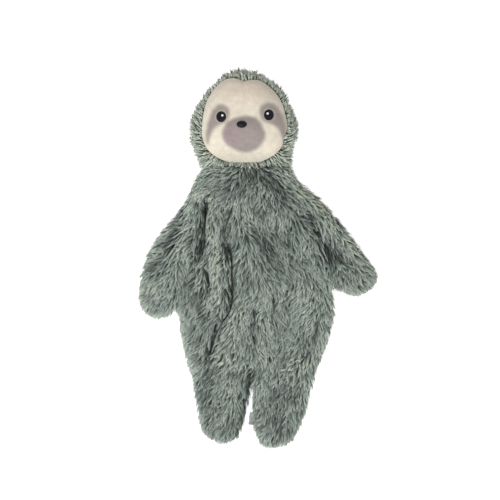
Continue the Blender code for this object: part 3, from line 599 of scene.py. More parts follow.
def strands(name, points, widths, ups, shades, material):
    """Closed three-sided tapering strands through points (strand, step, xyz) in millimetres."""
    count, rings = len(points), points.shape[1] - 1
    along = unit(np.gradient(points, axis=1))
    side = unit(np.cross(along, ups[:, None, :]))
    up = np.cross(side, along)
    half = widths[:, None, None] / 2 * np.array(STRAND_TAPER)[:, None]
    per = rings * 3 + 1
    vertices = np.empty((count, per, 3))
    for k, turn in enumerate(STRAND_TURNS):
        across, high = math.cos(math.radians(turn)), math.sin(math.radians(turn)) * STRAND_FLAT
        vertices[:, k:-1:3] = points[:, :-1] + (side * across + up * high)[:, :-1] * half
    vertices[:, -1] = points[:, -1]
    corners, sizes, uv = strand_faces(rings)
    loops = (corners + np.arange(count)[:, None] * per).ravel()
    totals = np.tile(sizes, count)
    mesh = bpy.data.meshes.new(name)
    mesh.vertices.add(count * per)
    mesh.vertices.foreach_set("co", (vertices * MM).astype(np.float32).ravel())
    mesh.loops.add(len(loops))
    mesh.loops.foreach_set("vertex_index", loops.astype(np.int32))
    mesh.polygons.add(len(totals))
    mesh.polygons.foreach_set("loop_start", (np.cumsum(totals) - totals).astype(np.int32))
    mesh.polygons.foreach_set("use_smooth", np.ones(len(totals), bool))
    place = np.empty((count, len(uv), 2))
    place[..., 0] = shades[:, None] * TONE_SPAN + TONE_START + uv[:, 0] * CORNER_SPAN
    place[..., 1] = HEIGHT_START + HEIGHT_SPAN * uv[:, 1] / rings
    mesh.uv_layers.new(name=STRAND_UV).data.foreach_set("uv", place.astype(np.float32).ravel())
    mesh.update(calc_edges=True)
    mesh.materials.append(material)
    return linked(mesh)


# a strand's steps as shares of its length, and how far it has bent over by each
STEP_SHARES, STEP_BENDS = (0.36, 0.34, 0.30), (0.0, 0.5, 1.0)
LOCK_LENGTHS, STRAND_LENGTHS, STRAND_WIDTHS = (-0.25, 0.2), (-0.24, 0.14), (0.75, 1.25)
TURN_JITTER, LIFT_JITTER, CURL_JITTER, CURL_SIDEWAYS = 0.16, 6, 0.30, 1.4
STRAY_AT_ROOT, STRAY_ALONG, ROOT_SINK = 0.08, 0.30, 0.5
TONE_LEAST, LOCK_TONES, STRAND_TONES = 0.1, 0.44, 0.36


def grow(places, normals, ways, length, lift, per_lock, spread_by, width, tones, gather, wild, stiff=0.28,
         floor=None):
    """Locks of strands, one at each place on a surface, along the way there and lifted by some degrees."""
    count = len(places)
    total = count * per_lock
    wild = wild * np.ones(count)

    def own(values):
        return np.repeat(values, per_lock, 0)

    size = ((1 + random.uniform(*LOCK_LENGTHS, count) * wild) * length)[:, None]
    tangent = unit(ways - normals * np.sum(ways * normals, 1, keepdims=True))
    side = unit(np.cross(normals, tangent))
    tangent = unit(turned(tangent, side, random.normal(0, TURN_JITTER, count) * wild))
    high = np.radians(random.normal(lift, LIFT_JITTER, count))
    curl = (random.normal(0, CURL_JITTER, count) * wild)[:, None]
    line = [places]
    for share, bent in zip(STEP_SHARES, STEP_BENDS):
        way = turned(tangent, normals, high * between(1, stiff, bent)) + side * curl * bent * CURL_SIDEWAYS
        line.append(line[-1] + unit(way) * size * share)
    gather = own(gather * np.ones(count))[:, None]
    shift = (own(side) * random.normal(0, spread_by, total)[:, None]
             + own(tangent) * random.normal(0, spread_by, total)[:, None])
    reach = 1 + (random.uniform(*STRAND_LENGTHS, total) * own(wild))[:, None]
    points = []
    for share, place in zip(np.cumsum((0, *STEP_SHARES)), line):
        at = own(places) + (own(place) - own(places)) * reach + shift * (1 - gather * share)
        for way in (side, normals):
            at += own(way) * random.normal(0, STRAY_AT_ROOT + STRAY_ALONG * share, total)[:, None]
        points.append(at)
    points[0] -= own(normals) * ROOT_SINK
    points = np.stack(points, 1)
    if floor is not None:
        points[..., 2] = np.maximum(points[..., 2], floor)
    widths = random.uniform(*STRAND_WIDTHS, total) * width
    shades = TONE_LEAST + own(random.uniform(0, LOCK_TONES, count)) + random.uniform(0, STRAND_TONES, total)
    return points, widths, own(normals), np.clip(shades + own(tones), 0, 1)


# materials
def new_material(name):
    material = bpy.data.materials.new(name)
    material.use_nodes = True
    return material, material.node_tree, material.node_tree.nodes["Principled BSDF"]


def give(tree, socket, value):
    """Links an input to another node's output, or sets it to a value."""
    if isinstance(value, bpy.types.NodeSocket):
        tree.links.new(value, socket)
    else:
        socket.default_value = value


def fill_in(tree, made, **inputs):
    """Gives a node's inputs, whose names are written with _ for a space."""
    for name, value in inputs.items():
        give(tree, made.inputs[name.replace("_", " ")], value)
    return made


def node(tree, kind, **inputs):
    return fill_in(tree, tree.nodes.new("ShaderNode" + kind), **inputs)


def maths(tree, operation, a, b):
    made = node(tree, "Math")
    made.operation = operation
    give(tree, made.inputs[0], a)
    give(tree, made.inputs[1], b)
    return made.outputs[0]


def noise(tree, scale, detail, roughness):
    where = node(tree, "TexCoord").outputs["Object"]
    made = node(tree, "TexNoise", Vector=where, Scale=scale, Detail=detail, Roughness=roughness)
    return made.outputs["Fac"]


def ramp(tree, source, *stops):
    made = node(tree, "ValToRGB", Fac=source)
    elements = made.color_ramp.elements
    while len(elements) < len(stops):
        elements.new(0.5)
    for element, (at, colour) in zip(elements, stops):
        element.position = at
        element.color = (*colour, 1)
    return made.outputs["Color"]


def clouds(tree, source, low, high):
    """Two colours, one where a noise is low and one where it is high."""
    return ramp(tree, source, (0.3, low), (0.7, high))


def mix(tree, a, b, kind="MULTIPLY", factor=1.0):
    made = node(tree, "Mix")
    made.data_type = "RGBA"
    made.blend_type = kind
    for index, value in ((0, factor), (6, a), (7, b)):
        give(tree, made.inputs[index], value)
    return made.outputs[2]


def bump(tree, height, strength, distance):
    return node(tree, "Bump", Height=height, Strength=strength, Distance=distance).outputs["Normal"]


def pile_material(name, stops, tones):
    """Fur: colours from root to tip, times a tone for each strand, which holds random variation and painted shade and
    light, times patches over the toy.
    """
    material, tree, shader = new_material(name)
    uv = node(tree, "UVMap")
    uv.uv_map = STRAND_UV
    parts = node(tree, "SeparateXYZ", Vector=uv.outputs["UV"]).outputs
    colour = mix(tree, ramp(tree, parts["Y"], *stops), ramp(tree, parts["X"], *tones))
    patches = clouds(tree, noise(tree, 38.0, 3.0, 0.6), (0.86, 0.88, 0.86), (1.12, 1.10, 1.08))
    fill_in(tree, shader, Base_Color=mix(tree, colour, patches), Roughness=0.62, Specular_IOR_Level=0.35,
            Sheen_Weight=0.25, Sheen_Roughness=0.45)
    return material


def woven(name, colour, other, scale, roughness=0.9, strength=0.4, sheen=0.2, gloss=0.4):
    """Cloth or thread of two close colours, with a fine grain."""
    material, tree, shader = new_material(name)
    fine = noise(tree, scale, 4.0, 0.65)
    base = clouds(tree, noise(tree, scale / 18, 3.0, 0.55), colour, other)
    grain = clouds(tree, fine, (0.84, 0.84, 0.84), (1.1, 1.1, 1.1))
    fill_in(tree, shader, Base_Color=mix(tree, base, grain), Normal=bump(tree, fine, strength, 0.0004),
            Roughness=roughness, Specular_IOR_Level=gloss, Sheen_Weight=sheen)
    return material


def face_material():
    """Smooth cream cloth with printed patches and a painted shade on the forehead, one for each attribute of the
    face's mesh.
    """
    material, tree, shader = new_material("face_cloth")
    fine = noise(tree, 900.0, 4.0, 0.7)
    colour = clouds(tree, noise(tree, 45.0, 3.0, 0.5), (0.735, 0.655, 0.540), (0.790, 0.715, 0.595))
    for attribute, tint in (
        # the first tint is painted shade at the top of the forehead, darker and a little warmer, where it slopes away
        # from the lamp
        ("blush", (0.720, 0.560, 0.455)), ("eye_patch", (0.305, 0.262, 0.238)),
        ("muzzle", (0.310, 0.264, 0.250)), ("muzzle_rose", (0.315, 0.240, 0.240)),
        ("round_nose", (0.235, 0.200, 0.183)), ("mouth", (0.400, 0.345, 0.325)),
        ("halo", (0.470, 0.430, 0.405)),
    ):
        mask = node(tree, "Attribute")
        mask.attribute_name = attribute
        colour = mix(tree, colour, (*tint, 1), "MIX", mask.outputs["Fac"])
    mottle = clouds(tree, noise(tree, 190.0, 2.0, 0.55), (0.90, 0.905, 0.915), (1.06, 1.055, 1.04))
    grain = clouds(tree, fine, (0.93, 0.93, 0.93), (1.05, 1.05, 1.05))
    colour = mix(tree, mix(tree, colour, mottle), grain)
    fill_in(tree, shader, Base_Color=colour, Normal=bump(tree, fine, 0.35, 0.0003), Roughness=0.9,
            Sheen_Weight=0.35, Sheen_Roughness=0.5)
    return material


pile = pile_material("long_pile_fur", [
    (0.0, (0.038, 0.048, 0.043)), (0.28, (0.136, 0.172, 0.154)), (0.60, (0.352, 0.418, 0.378)),
    (0.86, (0.620, 0.698, 0.630)), (1.0, (0.755, 0.800, 0.732)),
], [
    # tones, dark to pale: the darkest for painted shade in creases, the palest and warmest for painted light at the
    # rims
    (0.0, (0.09, 0.10, 0.10)), (0.14, (0.42, 0.45, 0.45)), (0.32, (0.74, 0.76, 0.76)),
    (0.6, (1.01, 1.02, 1.01)), (0.86, (1.14, 1.12, 1.09)), (1.0, (1.22, 1.14, 1.05)),
])
# a paler copy of the fur for the hood's front: painted light, where the lamp meets the steep hood at a slant
hood_pile = pile_material("long_pile_fur_hood", [
    (0.0, (0.180, 0.206, 0.182)), (0.25, (0.430, 0.488, 0.430)), (0.55, (0.670, 0.730, 0.645)),
    (0.85, (0.815, 0.850, 0.765)), (1.0, (0.850, 0.856, 0.782)),
], [
    (0.0, (0.36, 0.38, 0.36)), (0.35, (0.84, 0.86, 0.83)), (0.6, (1.03, 1.03, 1.00)),
    (1.0, (1.09, 1.09, 1.06)),
])
backing = woven("pile_backing", (0.050, 0.066, 0.057), (0.078, 0.098, 0.086), 1200)
seam_cloth = woven("seam_allowance", (0.10, 0.13, 0.115), (0.15, 0.185, 0.165), 1500)
fibre = woven("fibre_filling", (0.80, 0.80, 0.78), (0.90, 0.90, 0.88), 500, roughness=1.0, strength=0.8)
thread_black = woven("black_thread", (0.006, 0.005, 0.006), (0.011, 0.009, 0.011), 2500,
                     roughness=0.42, strength=0.15, sheen=0, gloss=0.12)
thread_white = woven("white_thread", (0.86, 0.86, 0.88), (0.93, 0.93, 0.94), 2500,
                     roughness=0.4, strength=0.15, sheen=0)
ribbon = woven("label_ribbon", (0.33, 0.31, 0.30), (0.42, 0.40, 0.39), 1800, roughness=0.6, strength=0.3)
face_cloth = face_material()

# body: fabric under the pile
CELL = 3.0
BACKING_LOW, BACKING_HIGH = (-126, -198), (127, 112)
RIM_SHARE = 0.6


def body_backing():
    """The two layers of slack fabric, cut in one closed piece per region."""
    lines = (np.arange(low, high, CELL) for low, high in zip(BACKING_LOW, BACKING_HIGH))
    grid = np.stack(np.meshgrid(*lines), -1)
    rows, columns = grid.shape[:2]
    centres = (grid[:-1, :-1] + CELL / 2).reshape(-1, 2)
    inside = (skin(centres) > 0).reshape(rows - 1, columns - 1)
    region = region_of(centres).reshape(rows - 1, columns - 1)
    padded = np.pad(inside, 1)
    touching = [padded[dr:dr + rows, dc:dc + columns] for dr in (0, 1) for dc in (0, 1)]
    rim = (np.any(touching, 0) & ~np.all(touching, 0)).ravel()
    # the places on the rim move to the fabric's edge
    flat = grid.reshape(-1, 2)
    slope = skin_slope(flat)
    steep = np.hypot(*slope.T) + 1e-6
    step = np.clip(skin(flat) / steep, -CELL, CELL)
    moved = np.where(rim[:, None], flat - slope * (step / steep)[:, None], flat)
    layers = []
    for side in (1, -1):
        height = np.where(rim, SKIN_EDGE * RIM_SHARE, surface[side](moved))
        layers.append(np.column_stack([moved, SEWING_HEIGHT + side * height]))
    vertices = np.concatenate(layers)
    below = len(flat)
    for index, name in enumerate(REGIONS):
        cells = np.argwhere(inside & (region == index)) @ (columns, 1)
        tops = (cells[:, None] + (0, 1, columns + 1, columns)).tolist()
        ways = {pair for top in tops for pair in zip(top, top[1:] + top[:1])}
        sides = [(a, a + below, b + below, b) for a, b in sorted(ways) if (b, a) not in ways]
        faces = np.concatenate([tops, np.array(tops)[:, ::-1] + below, sides])
        used, corners = np.unique(faces, return_inverse=True)
        yield mesh_object(name + "_backing", vertices[used], corners.reshape(-1, 4).tolist(), backing), name


# body: pile on both sides, from places on staggered rows
PLACES_LOW, PLACES_HIGH, ROW_SHARE, PLACE_JITTER = (-124, -196), (124, 112), 0.866, 0.36
BODY_PILE = {
    1: dict(spacing=2.4, per_lock=6, length=14.0, lift=26, width=0.80, spread_by=0.62),
    -1: dict(spacing=3.4, per_lock=5, length=12.4, lift=16, width=0.85, spread_by=0.9),
}
PILE_PAST_SKIN, PILE_PAST_NECK, PILE_FLOOR = 0.6, {1: 4, -1: 20}, {1: None, -1: 0.3}
EDGE_REACH, EDGE_LENGTH, EDGE_GATHER, INNER_GATHER, EDGE_WILD = 14, 0.67, 0.25, 0.70, 0.3
# locks near a crease turn away from it, and one that points at it ends there
CREASE_REACH, CREASE_TURN, CREASE_LEAN, CREASE_LENGTH, LENGTH_LEAST = 3.6, 0.45, 0.12, 1.15, 4.0
SEEN_SHARE = 0.5
CROSSED, CREASE_NEAR, GAP_JITTER, PULLS = -0.1, 7, (0.3, 2.0), (0.2, 0.7)
# how far past an outline strands may reach: as a rule, at random and in tufts
OUTLINE_EASE, HEAD_EASE, EDGE_FUZZ, TUFTS = 1.05, 1.5, 0.95, [(51, 4.5, 0.75)]
SHORTEST, TRIM_SLACK = 0.45, 0.5
STRANDS_MOST = 12000


def body_places(spacing):
    """Jittered places on staggered rows."""
    xs = np.arange(PLACES_LOW[0], PLACES_HIGH[0], spacing)
    ys = np.arange(PLACES_LOW[1], PLACES_HIGH[1], spacing * ROW_SHARE)
    grid = np.stack(np.meshgrid(xs, ys), -1)
    grid[1::2, :, 0] += spacing / 2
    flat = grid.reshape(-1, 2)
    return flat + random.uniform(-PLACE_JITTER, PLACE_JITTER, flat.shape) * spacing


def body_pile(side, spacing, per_lock, length, lift, width, spread_by):
    """Strands over one side of the body, and the index of the region that each belongs to."""
    xy = body_places(spacing)
    xy = xy[(skin(xy) > -PILE_PAST_SKIN) & (xy[:, 1] < NECK[1] + PILE_PAST_NECK[side])]
    if side > 0:
        xy = xy[crease_by(xy) > crease_gap(xy)]
    up = np.ones(len(xy))
    normals = unit(np.column_stack([-surface[side].slope()(xy), up])) * (1, 1, side)
    lie = unit(flow(xy))
    inner = climb(edge(xy), 0, EDGE_REACH)
    lock_length = length * between(EDGE_LENGTH, 1, inner)
    # each lock's tone: painted light at the rim, and on the front also painted shade and light of creases, hollows and
    # ridges, read where the lock is seen, with random patches and streaks
    tones = rim_shading(xy)
    if side > 0:
        away = unit(crease_slope(xy))
        lie = unit(lie + away * (crease_pull(xy) * bell(crease_by(xy) / CREASE_REACH) * CREASE_TURN)[:, None])
        towards = np.maximum(-np.sum(lie * away, 1), CREASE_LEAN)
        room = np.maximum(LENGTH_LEAST, CREASE_LENGTH * crease_by(xy) / towards)
        lock_length = np.minimum(lock_length, room)
        tones = shading(xy + lie * (lock_length * SEEN_SHARE)[:, None])
    places = np.column_stack([xy, SEWING_HEIGHT + side * surface[side](xy)])
    gather, wild = between(EDGE_GATHER, INNER_GATHER, inner), between(EDGE_WILD, 1, inner)
    ways = np.column_stack([lie, 0 * up])
    made = grow(places, normals, ways, lock_length, lift, per_lock, spread_by, width, tones, gather, wild,
                floor=PILE_FLOOR[side])
    if side > 0:
        keep_off_creases(made[0], np.repeat(away, per_lock, 0))
    trim(made[0], OUTLINE_EASE, edge, lambda xy: unit(edge_slope(xy)))
    return made, np.repeat(region_of(xy), per_lock)


def keep_off_creases(points, home):
    """Moves strands that cross a crease back to the side of their roots, where home points."""
    for step in range(1, points.shape[1]):
        xy = points[:, step, :2]
        by, gap = crease_by(xy), crease_gap(xy) * random.uniform(*GAP_JITTER, len(xy))
        away = unit(crease_slope(xy))
        crossed = np.sum(away * home, 1) < CROSSED
        shift = np.where(crossed, np.where(by < CREASE_NEAR, -(by + gap), 0), np.maximum(gap - by, 0))
        xy += away * (shift * climb(crease_pull(xy), *PULLS))[:, None]


def trim(points, ease, room, inwards):
    """Shortens strands that reach past an outline, and brings what still does back to it."""
    fuzz = ease + random.normal(0, EDGE_FUZZ, len(points)) + wavy(points[:, -1, :2], TUFTS)
    root, tip = room(points[:, 0, :2]) + fuzz, room(points[:, -1, :2]) + fuzz
    share = np.clip(np.where(tip < 0, root / np.maximum(root - tip, 1e-6), 1), SHORTEST, 1)
    points[:, 1:] = between(points[:, :1], points[:, 1:], share[:, None, None])
    for step in range(1, points.shape[1]):
        xy = points[:, step, :2]
        xy += inwards(xy) * np.maximum(-room(xy) - fuzz - TRIM_SLACK, 0)[:, None]


def body_piles():
    """The body's pile, in pieces of one region each and of few enough strands."""
    for side, face_name in ((1, "front"), (-1, "back")):
        made, region = body_pile(side, **BODY_PILE[side])
        for index, name in enumerate(REGIONS):
            where = np.flatnonzero(region == index)
            parts = math.ceil(len(where) / STRANDS_MOST)
            order = where[np.argsort(-made[0][where, 0, 1], kind="stable")]
            for k, rows in enumerate(np.array_split(order, parts)):
                label = f"{name}_pile_{face_name}" + (f"_{k + 1}" if parts > 1 else "")
                yield strands(label, *(values[rows] for values in made), pile), name


# head: its outline as shares of its width and length from the neck, its domes, and the planes that end it
HEAD_WIDTH, HEAD_LENGTH, HEAD_LEAN = 110.0, 98.0, math.radians(7)
HEAD_CENTRE = NECK + (-0.032 * HEAD_WIDTH, 0.470 * HEAD_LENGTH)
HEAD_SHARES = [
    (0.395, 0.012), (0.404, 0.11), (0.436, 0.226), (0.473, 0.33), (0.468, 0.438), (0.438, 0.541),
    (0.379, 0.715), (0.32, 0.812), (0.25, 0.882), (0.15, 0.953), (0.06, 0.989), (-0.035, 1), (-0.15, 0.984),
    (-0.222, 0.946), (-0.287, 0.884), (-0.374, 0.784), (-0.426, 0.686), (-0.499, 0.518), (-0.523, 0.34),
    (-0.511, 0.256), (-0.475, 0.165), (-0.44, 0.085), (-0.395, 0.012), (-0.22, 0.012), (-0.02, 0.012),
    (0.18, 0.012),
]
# each side's rise, the slope of the plane that ends it above the neck, and what that plane gives back
HEAD_SIDES = {1: (43.0, math.radians(69), 1.8), -1: (17.5, math.radians(42), 0)}
DOME_POWER, DOME_BLEND, NECK_JOIN, REACH_ROUND, STEEPEST = 2.35, 4, 3.2, 4.0, 0.2
STAR_ROUND, STAR_TURNS = math.radians(10), np.linspace(-2, 2, 17)
FACE_OUTLINE = [
    (-35, 177.1), (-44.9, 167.3), (-51.7, 155.1), (-55, 139.9), (-56, 129.1), (-55.4, 121), (-53.9, 115),
    (-50.8, 109.5), (-46, 104.4), (-39.2, 100.1), (-31.3, 97), (-22.6, 95.6), (-15, 94.8), (-6.6, 95.2),
    (2.4, 96.6), (11.6, 100.7), (18.8, 105.6), (24, 112.2), (26, 120.1), (29.3, 130.7), (27.5, 142.1),
    (23.7, 155.1), (16.8, 165.8), (8.4, 173.3), (0.9, 177.5), (-8.3, 177.9), (-14.4, 176.4), (-19, 178.7),
    (-26.6, 179.8),
]
MUZZLE_CENTRE, MUZZLE_HALF, MUZZLE_RISE, MUZZLE_POWER = (-14.0, 124.5), (21.5, 17.5), 4.2, 3.0
SKIN_DEPTH, SKIN_THICK, FACE_DEPTH, FACE_THICK = 6.4, 1.4, 3.5, 1.6
OUTLINE_COUNT = 900


def polar(way):
    return np.hypot(*way.T), np.arctan2(way[:, 1], way[:, 0])


def star(points):
    """A function of angle: how far a closed outline lies from the head's middle."""
    r, a = polar(smooth_closed(points, OUTLINE_COUNT) - HEAD_CENTRE)
    order = np.argsort(a)
    angles = np.concatenate([a[order] + turn for turn in (-math.tau, 0, math.tau)])
    distances = np.tile(r[order], 3)
    return lambda angle: np.interp(angle, angles, distances)


head_star, face_star = star(np.array(HEAD_SHARES) * [HEAD_WIDTH, HEAD_LENGTH] + NECK), star(FACE_OUTLINE)


def rounded_star(angle):
    """The head's outline, averaged over a few degrees each way, so that corners leave no ridge on a dome."""
    weights = np.exp(-STAR_TURNS**2 / 2)
    weights /= weights.sum()
    return sum(head_star(angle + turn * STAR_ROUND) * weight for turn, weight in zip(STAR_TURNS, weights))


def head_room(xy):
    """How far inside the head's or the body's outline each place lies."""
    far, angle = polar(xy - HEAD_CENTRE)
    return np.maximum(head_star(angle) - far, edge(xy))


def near_face(places):
    """How far outside the face's outline each place lies."""
    far, angle = polar(places[:, :2] - HEAD_CENTRE)
    return far - face_star(angle)


def parting(y):
    """Height of the plane between the head's front and back."""
    return SEWING_HEIGHT + (y - NECK[1]) * math.tan(HEAD_LEAN)


def neck_plane(offset, side):
    """Slope of the plane that ends the head above the neck, and how far it lies under the neck seam."""
    _, slope, gain = HEAD_SIDES[side]
    return math.tan(slope) - side * math.tan(HEAD_LEAN), (offset - gain) / math.cos(slope)


def head_reach(angle, offset, side):
    """How far the head's side reaches: to its outline or the plane, rounded where they meet."""
    slope, under = neck_plane(offset, side)
    rim = head_star(angle) - offset
    limit = (HEAD_CENTRE[1] - NECK[1] - under / slope) / np.maximum(-np.sin(angle), STEEPEST)
    blend = np.maximum(REACH_ROUND - np.abs(rim - limit), 0) / REACH_ROUND
    return np.minimum(rim, limit) - REACH_ROUND * blend**2 / 4


def head_height(xy, offset, side):
    """Height of the head's side at places, at a depth under its pile."""
    far, angle = polar(xy - HEAD_CENTRE)
    rim = head_star(angle)
    reach = between(rounded_star(angle), rim, np.minimum(1, far / rim) ** DOME_BLEND) - offset
    dome = (HEAD_SIDES[side][0] - offset) * swell(far / reach, DOME_POWER)
    slope, under = neck_plane(offset, side)
    plane = (xy[:, 1] - NECK[1]) * slope - under
    least, dome, plane = (np.maximum(part, 1e-6) for part in (np.minimum(dome, plane), dome, plane))
    soft = least * ((least / dome) ** NECK_JOIN + (least / plane) ** NECK_JOIN) ** (-1 / NECK_JOIN)
    return parting(xy[:, 1]) + side * soft


# where the hood starts, as a share of the face's and of the head's reach, where its back ends, and its floor
HOOD_START, HOOD_START_MOST, HOOD_END, HOOD_FLOOR = 0.975, 0.97, 0.985, 1.6
BACKING_TURNS, BACKING_ROWS, PILE_TURNS, PILE_ROWS = 96, (12, 16), 361, (26, 40)


def head_ring(angle, share, offset, side):
    """Places of a ring at a share of the way from the head's middle to its rim."""
    xy = HEAD_CENTRE + circle(angle) * (head_reach(angle, offset, side) * share)[:, None]
    z = head_height(xy, offset, side)
    return np.column_stack([xy, z if side > 0 else np.maximum(z, HOOD_FLOOR)])


def hood_surface(angle, offset, rows):
    """Rings from the face's edge over the head's rim to the middle of its back."""
    start = np.minimum(face_star(angle) * HOOD_START / head_reach(angle, offset, 1), HOOD_START_MOST)
    over, under = (np.linspace(0, math.pi / 2, count) for count in rows)
    rings = [head_ring(angle, between(start, 1, math.sin(turn)), offset, 1) for turn in over]
    return rings + [head_ring(angle, math.cos(turn * HOOD_END), offset, -1) for turn in under[1:]]


def head_backing():
    """The fabric of hood and back panel, as one bowl."""
    angle = np.linspace(-math.pi, math.pi, BACKING_TURNS, endpoint=False)
    outer, inner = (hood_surface(angle, SKIN_DEPTH + depth, BACKING_ROWS) for depth in (0, SKIN_THICK))
    return mesh_object("head_backing", *loft(outer[::-1] + inner), backing)


# head: pile, from places tried at random and thinned to an even spacing
PLACES_TRIED, HEAD_SPACING, PLACES_FLOOR, MIDDLE_UP = 60000, 2.7, 1.0, 8
RAYS_FROM, RISE_MOST = np.array([NECK[0] + 1, NECK[1] - 2, 30.0]), 0.15
# how far behind the parting, and how far above the neck, the lie starts to change and has changed
BEHIND, IN_FRONT_FROM = (2, 10), 1
CHIN, CHIN_LIFT, CHIN_SPREAD, CHIN_SPREAD_OVER = (16, 7), 0.1, 0.9, 40
HEAD_SWIRLS = [(31, 24, 0.3), (32, 9, 0.2)]
# length and lift of the locks: at the face's edge, away from it, on the back, and what the chin adds
FACE_FADE = 4.5
HOOD_LENGTHS, HOOD_LIFTS = (5.4, 9.8, 10, 5.5), (76, 50, 32, -16)
# tones: over all and at random, painted shade under the chin, at the peak, towards the top, and painted shade on the
# head's left, away from the lamp
HOOD_TONE, HOOD_TONE_JITTER, CHIN_PAINTED_SHADE, CHIN_PAINTED_SHADE_SIDES, CHIN_PAINTED_SHADE_OVER = 0.04, 0.12, -0.48, 0.35, 30
PEAK, PEAK_TONE, PEAK_FADE = (-14.5, 179.5), -0.26, 9
TOP_TONE, TOP, LEFT_PAINTED_SHADE, LEFT_OVER = 0.22, (160, 175), -0.05, 35
HEAD_PILE = dict(spread_by=0.62, width=0.88, gather=0.88, wild=0.7, stiff=0.6, floor=0.4)


def head_places():
    """Places and normals spread evenly by area over the hood and the back of the head."""
    grid = np.array(hood_surface(np.linspace(-math.pi, math.pi, PILE_TURNS), SKIN_DEPTH, PILE_ROWS))
    a, b, c, d = grid[:-1, :-1], grid[:-1, 1:], grid[1:, 1:], grid[1:, :-1]
    crossed = np.cross(c - a, d - b)
    area = np.linalg.norm(crossed, axis=2) / 2
    pick = random.choice(area.size, PLACES_TRIED, p=(area / area.sum()).ravel())
    u, v = random.uniform(0, 1, (2, len(pick), 1))
    a, b, c, d, normals = (part.reshape(-1, 3)[pick] for part in (a, b, c, d, crossed))
    places = a * (1 - u) * (1 - v) + b * u * (1 - v) + c * u * v + d * (1 - u) * v
    outward = places - (*HEAD_CENTRE, SEWING_HEIGHT + MIDDLE_UP)
    normals = unit(normals) * np.sign(np.sum(normals * outward, 1))[:, None]
    _, kept = np.unique(np.floor(places / HEAD_SPACING + 0.5).astype(int), axis=0, return_index=True)
    kept = kept[places[kept, 2] > PLACES_FLOOR]
    return places[kept], normals[kept]


def head_pile():
    """Locks over the hood and the back of the head."""
    places, normals = head_places()
    x, y, z = places.T
    # away from the chest over the hood, down to the nape on the back, and down over the neck under the chin
    ways = unit(places - RAYS_FROM)
    ways[:, 2] = np.minimum(ways[:, 2], RISE_MOST)
    behind = climb(parting(y) - z, *BEHIND)
    chin = climb(y - NECK[1], *CHIN) * (1 - behind)
    ways = between(ways, np.array([0, -1, 0]), behind[:, None])
    ways = between(ways, np.array([0, -1, CHIN_LIFT]), chin[:, None])
    ways[:, 0] += chin * CHIN_SPREAD * (x - NECK[0]) / CHIN_SPREAD_OVER
    ways = turned(ways, np.cross(normals, ways), wavy(places, HEAD_SWIRLS))
    in_front = z > parting(y) - IN_FRONT_FROM
    # the locks beside the face stand up over its edge, the others lean outwards
    by_face = climb(near_face(places), 0, FACE_FADE)
    length, lift = (
        np.where(in_front, between(at_face, off_face, by_face), at_back) + at_chin * chin
        for at_face, off_face, at_back, at_chin in (HOOD_LENGTHS, HOOD_LIFTS)
    )
    off_middle = climb(np.abs(x - HEAD_CENTRE[0]), 0, CHIN_PAINTED_SHADE_OVER)
    # painted shade under the chin, lighter towards its sides
    tones = HOOD_TONE + CHIN_PAINTED_SHADE * chin * (1 - CHIN_PAINTED_SHADE_SIDES * off_middle)
    tones += random.normal(0, HOOD_TONE_JITTER, len(places))
    tones += PEAK_TONE * bell(apart(places[:, :2], PEAK) / PEAK_FADE)
    # the head's left gets painted shade, on the side away from the lamp
    tones += TOP_TONE * climb(y, *TOP) + LEFT_PAINTED_SHADE * climb(x - HEAD_CENTRE[0], 0, LEFT_OVER)
    for name, on, per_lock, fur in (
        ("hood_pile_front", in_front, 7, hood_pile), ("hood_pile_back", ~in_front, 6, pile),
    ):
        locks = (values[on] for values in (places, normals, ways, length, lift))
        made = grow(*locks, per_lock, tones=tones[on], **HEAD_PILE)
        trim(made[0], HEAD_EASE, head_room, lambda xy: unit(HEAD_CENTRE - xy))
        yield strands(name, *made, fur)


# face: its printed patches, a painted shade on its forehead, and its stitched eyes and nose
EYE_PATCH_RIGHT = [
    (-37.4, 153.6), (-32.6, 152.2), (-29, 149), (-28.2, 144), (-29.8, 138.8), (-34.2, 135), (-41.2, 131.3),
    (-45.2, 126.5), (-47.4, 121.1), (-48.8, 116.6), (-50.1, 114), (-51.9, 117.5), (-52.4, 123.8),
    (-51, 131.7), (-48.8, 138.9), (-46.5, 145.6), (-42.6, 150.8),
]
EYE_PATCH_LEFT = [
    (9.4, 155.3), (2.7, 151.3), (1.4, 146), (2.7, 140.7), (6.7, 136.2), (12.1, 134), (16.5, 132.2),
    (20.5, 128.3), (22.7, 123.8), (24.5, 119.3), (25.4, 117.5), (28.1, 122), (28.5, 128.3), (27.2, 134.4),
    (24.5, 142.4), (20.9, 148.6), (16.5, 153.5),
]
MUZZLE_OUTLINE = [
    (-22.5, 139.8), (-15.5, 141.4), (-8.4, 141.4), (-2.1, 139.3), (2.3, 134.4), (5.4, 129), (7.2, 123.8),
    (6.3, 118.4), (2.7, 112.6), (-2.1, 108.7), (-9.2, 106), (-15.5, 106), (-22.5, 108.7), (-29.7, 113.1),
    (-34.1, 118.4), (-35.5, 124.7), (-34.1, 129.9), (-30.6, 135.3), (-26.6, 138),
]
MOUTH = [(-28.4, 115.4), (-21.9, 116.7), (-15, 116.9), (-7, 116.4), (0, 114.9)]
EYES = ("eye_right", "eye_left")
EYE_DIP, EYE_DIP_REACH, FACE_TUCK, TUCK_FROM = 0.9, 8.5, 1.5, 0.90
FACE_TURNS, FACE_SHARES = 384, np.concatenate([np.linspace(0.012, 0.86, 64), np.linspace(0.87, 1.0, 14)])
INNER_STEP, PATCH_COUNT, PATCH_SOFTNESS = 6, 120, 2.8
ROSE_CENTRE, ROSE_REACH, NOSE_Y, NOSE_REACH, MOUTH_REACH = (-28, 120), 12, 138, 5.5, 1.0
# the middle and half size of the painted shade on the forehead, and the ring round the eyes
FOREHEAD_SHADE_CENTRE, FOREHEAD_SHADE_HALF, HALO_AT, HALO_REACH = (-12, 168), (28, 9), 1.1, 0.16


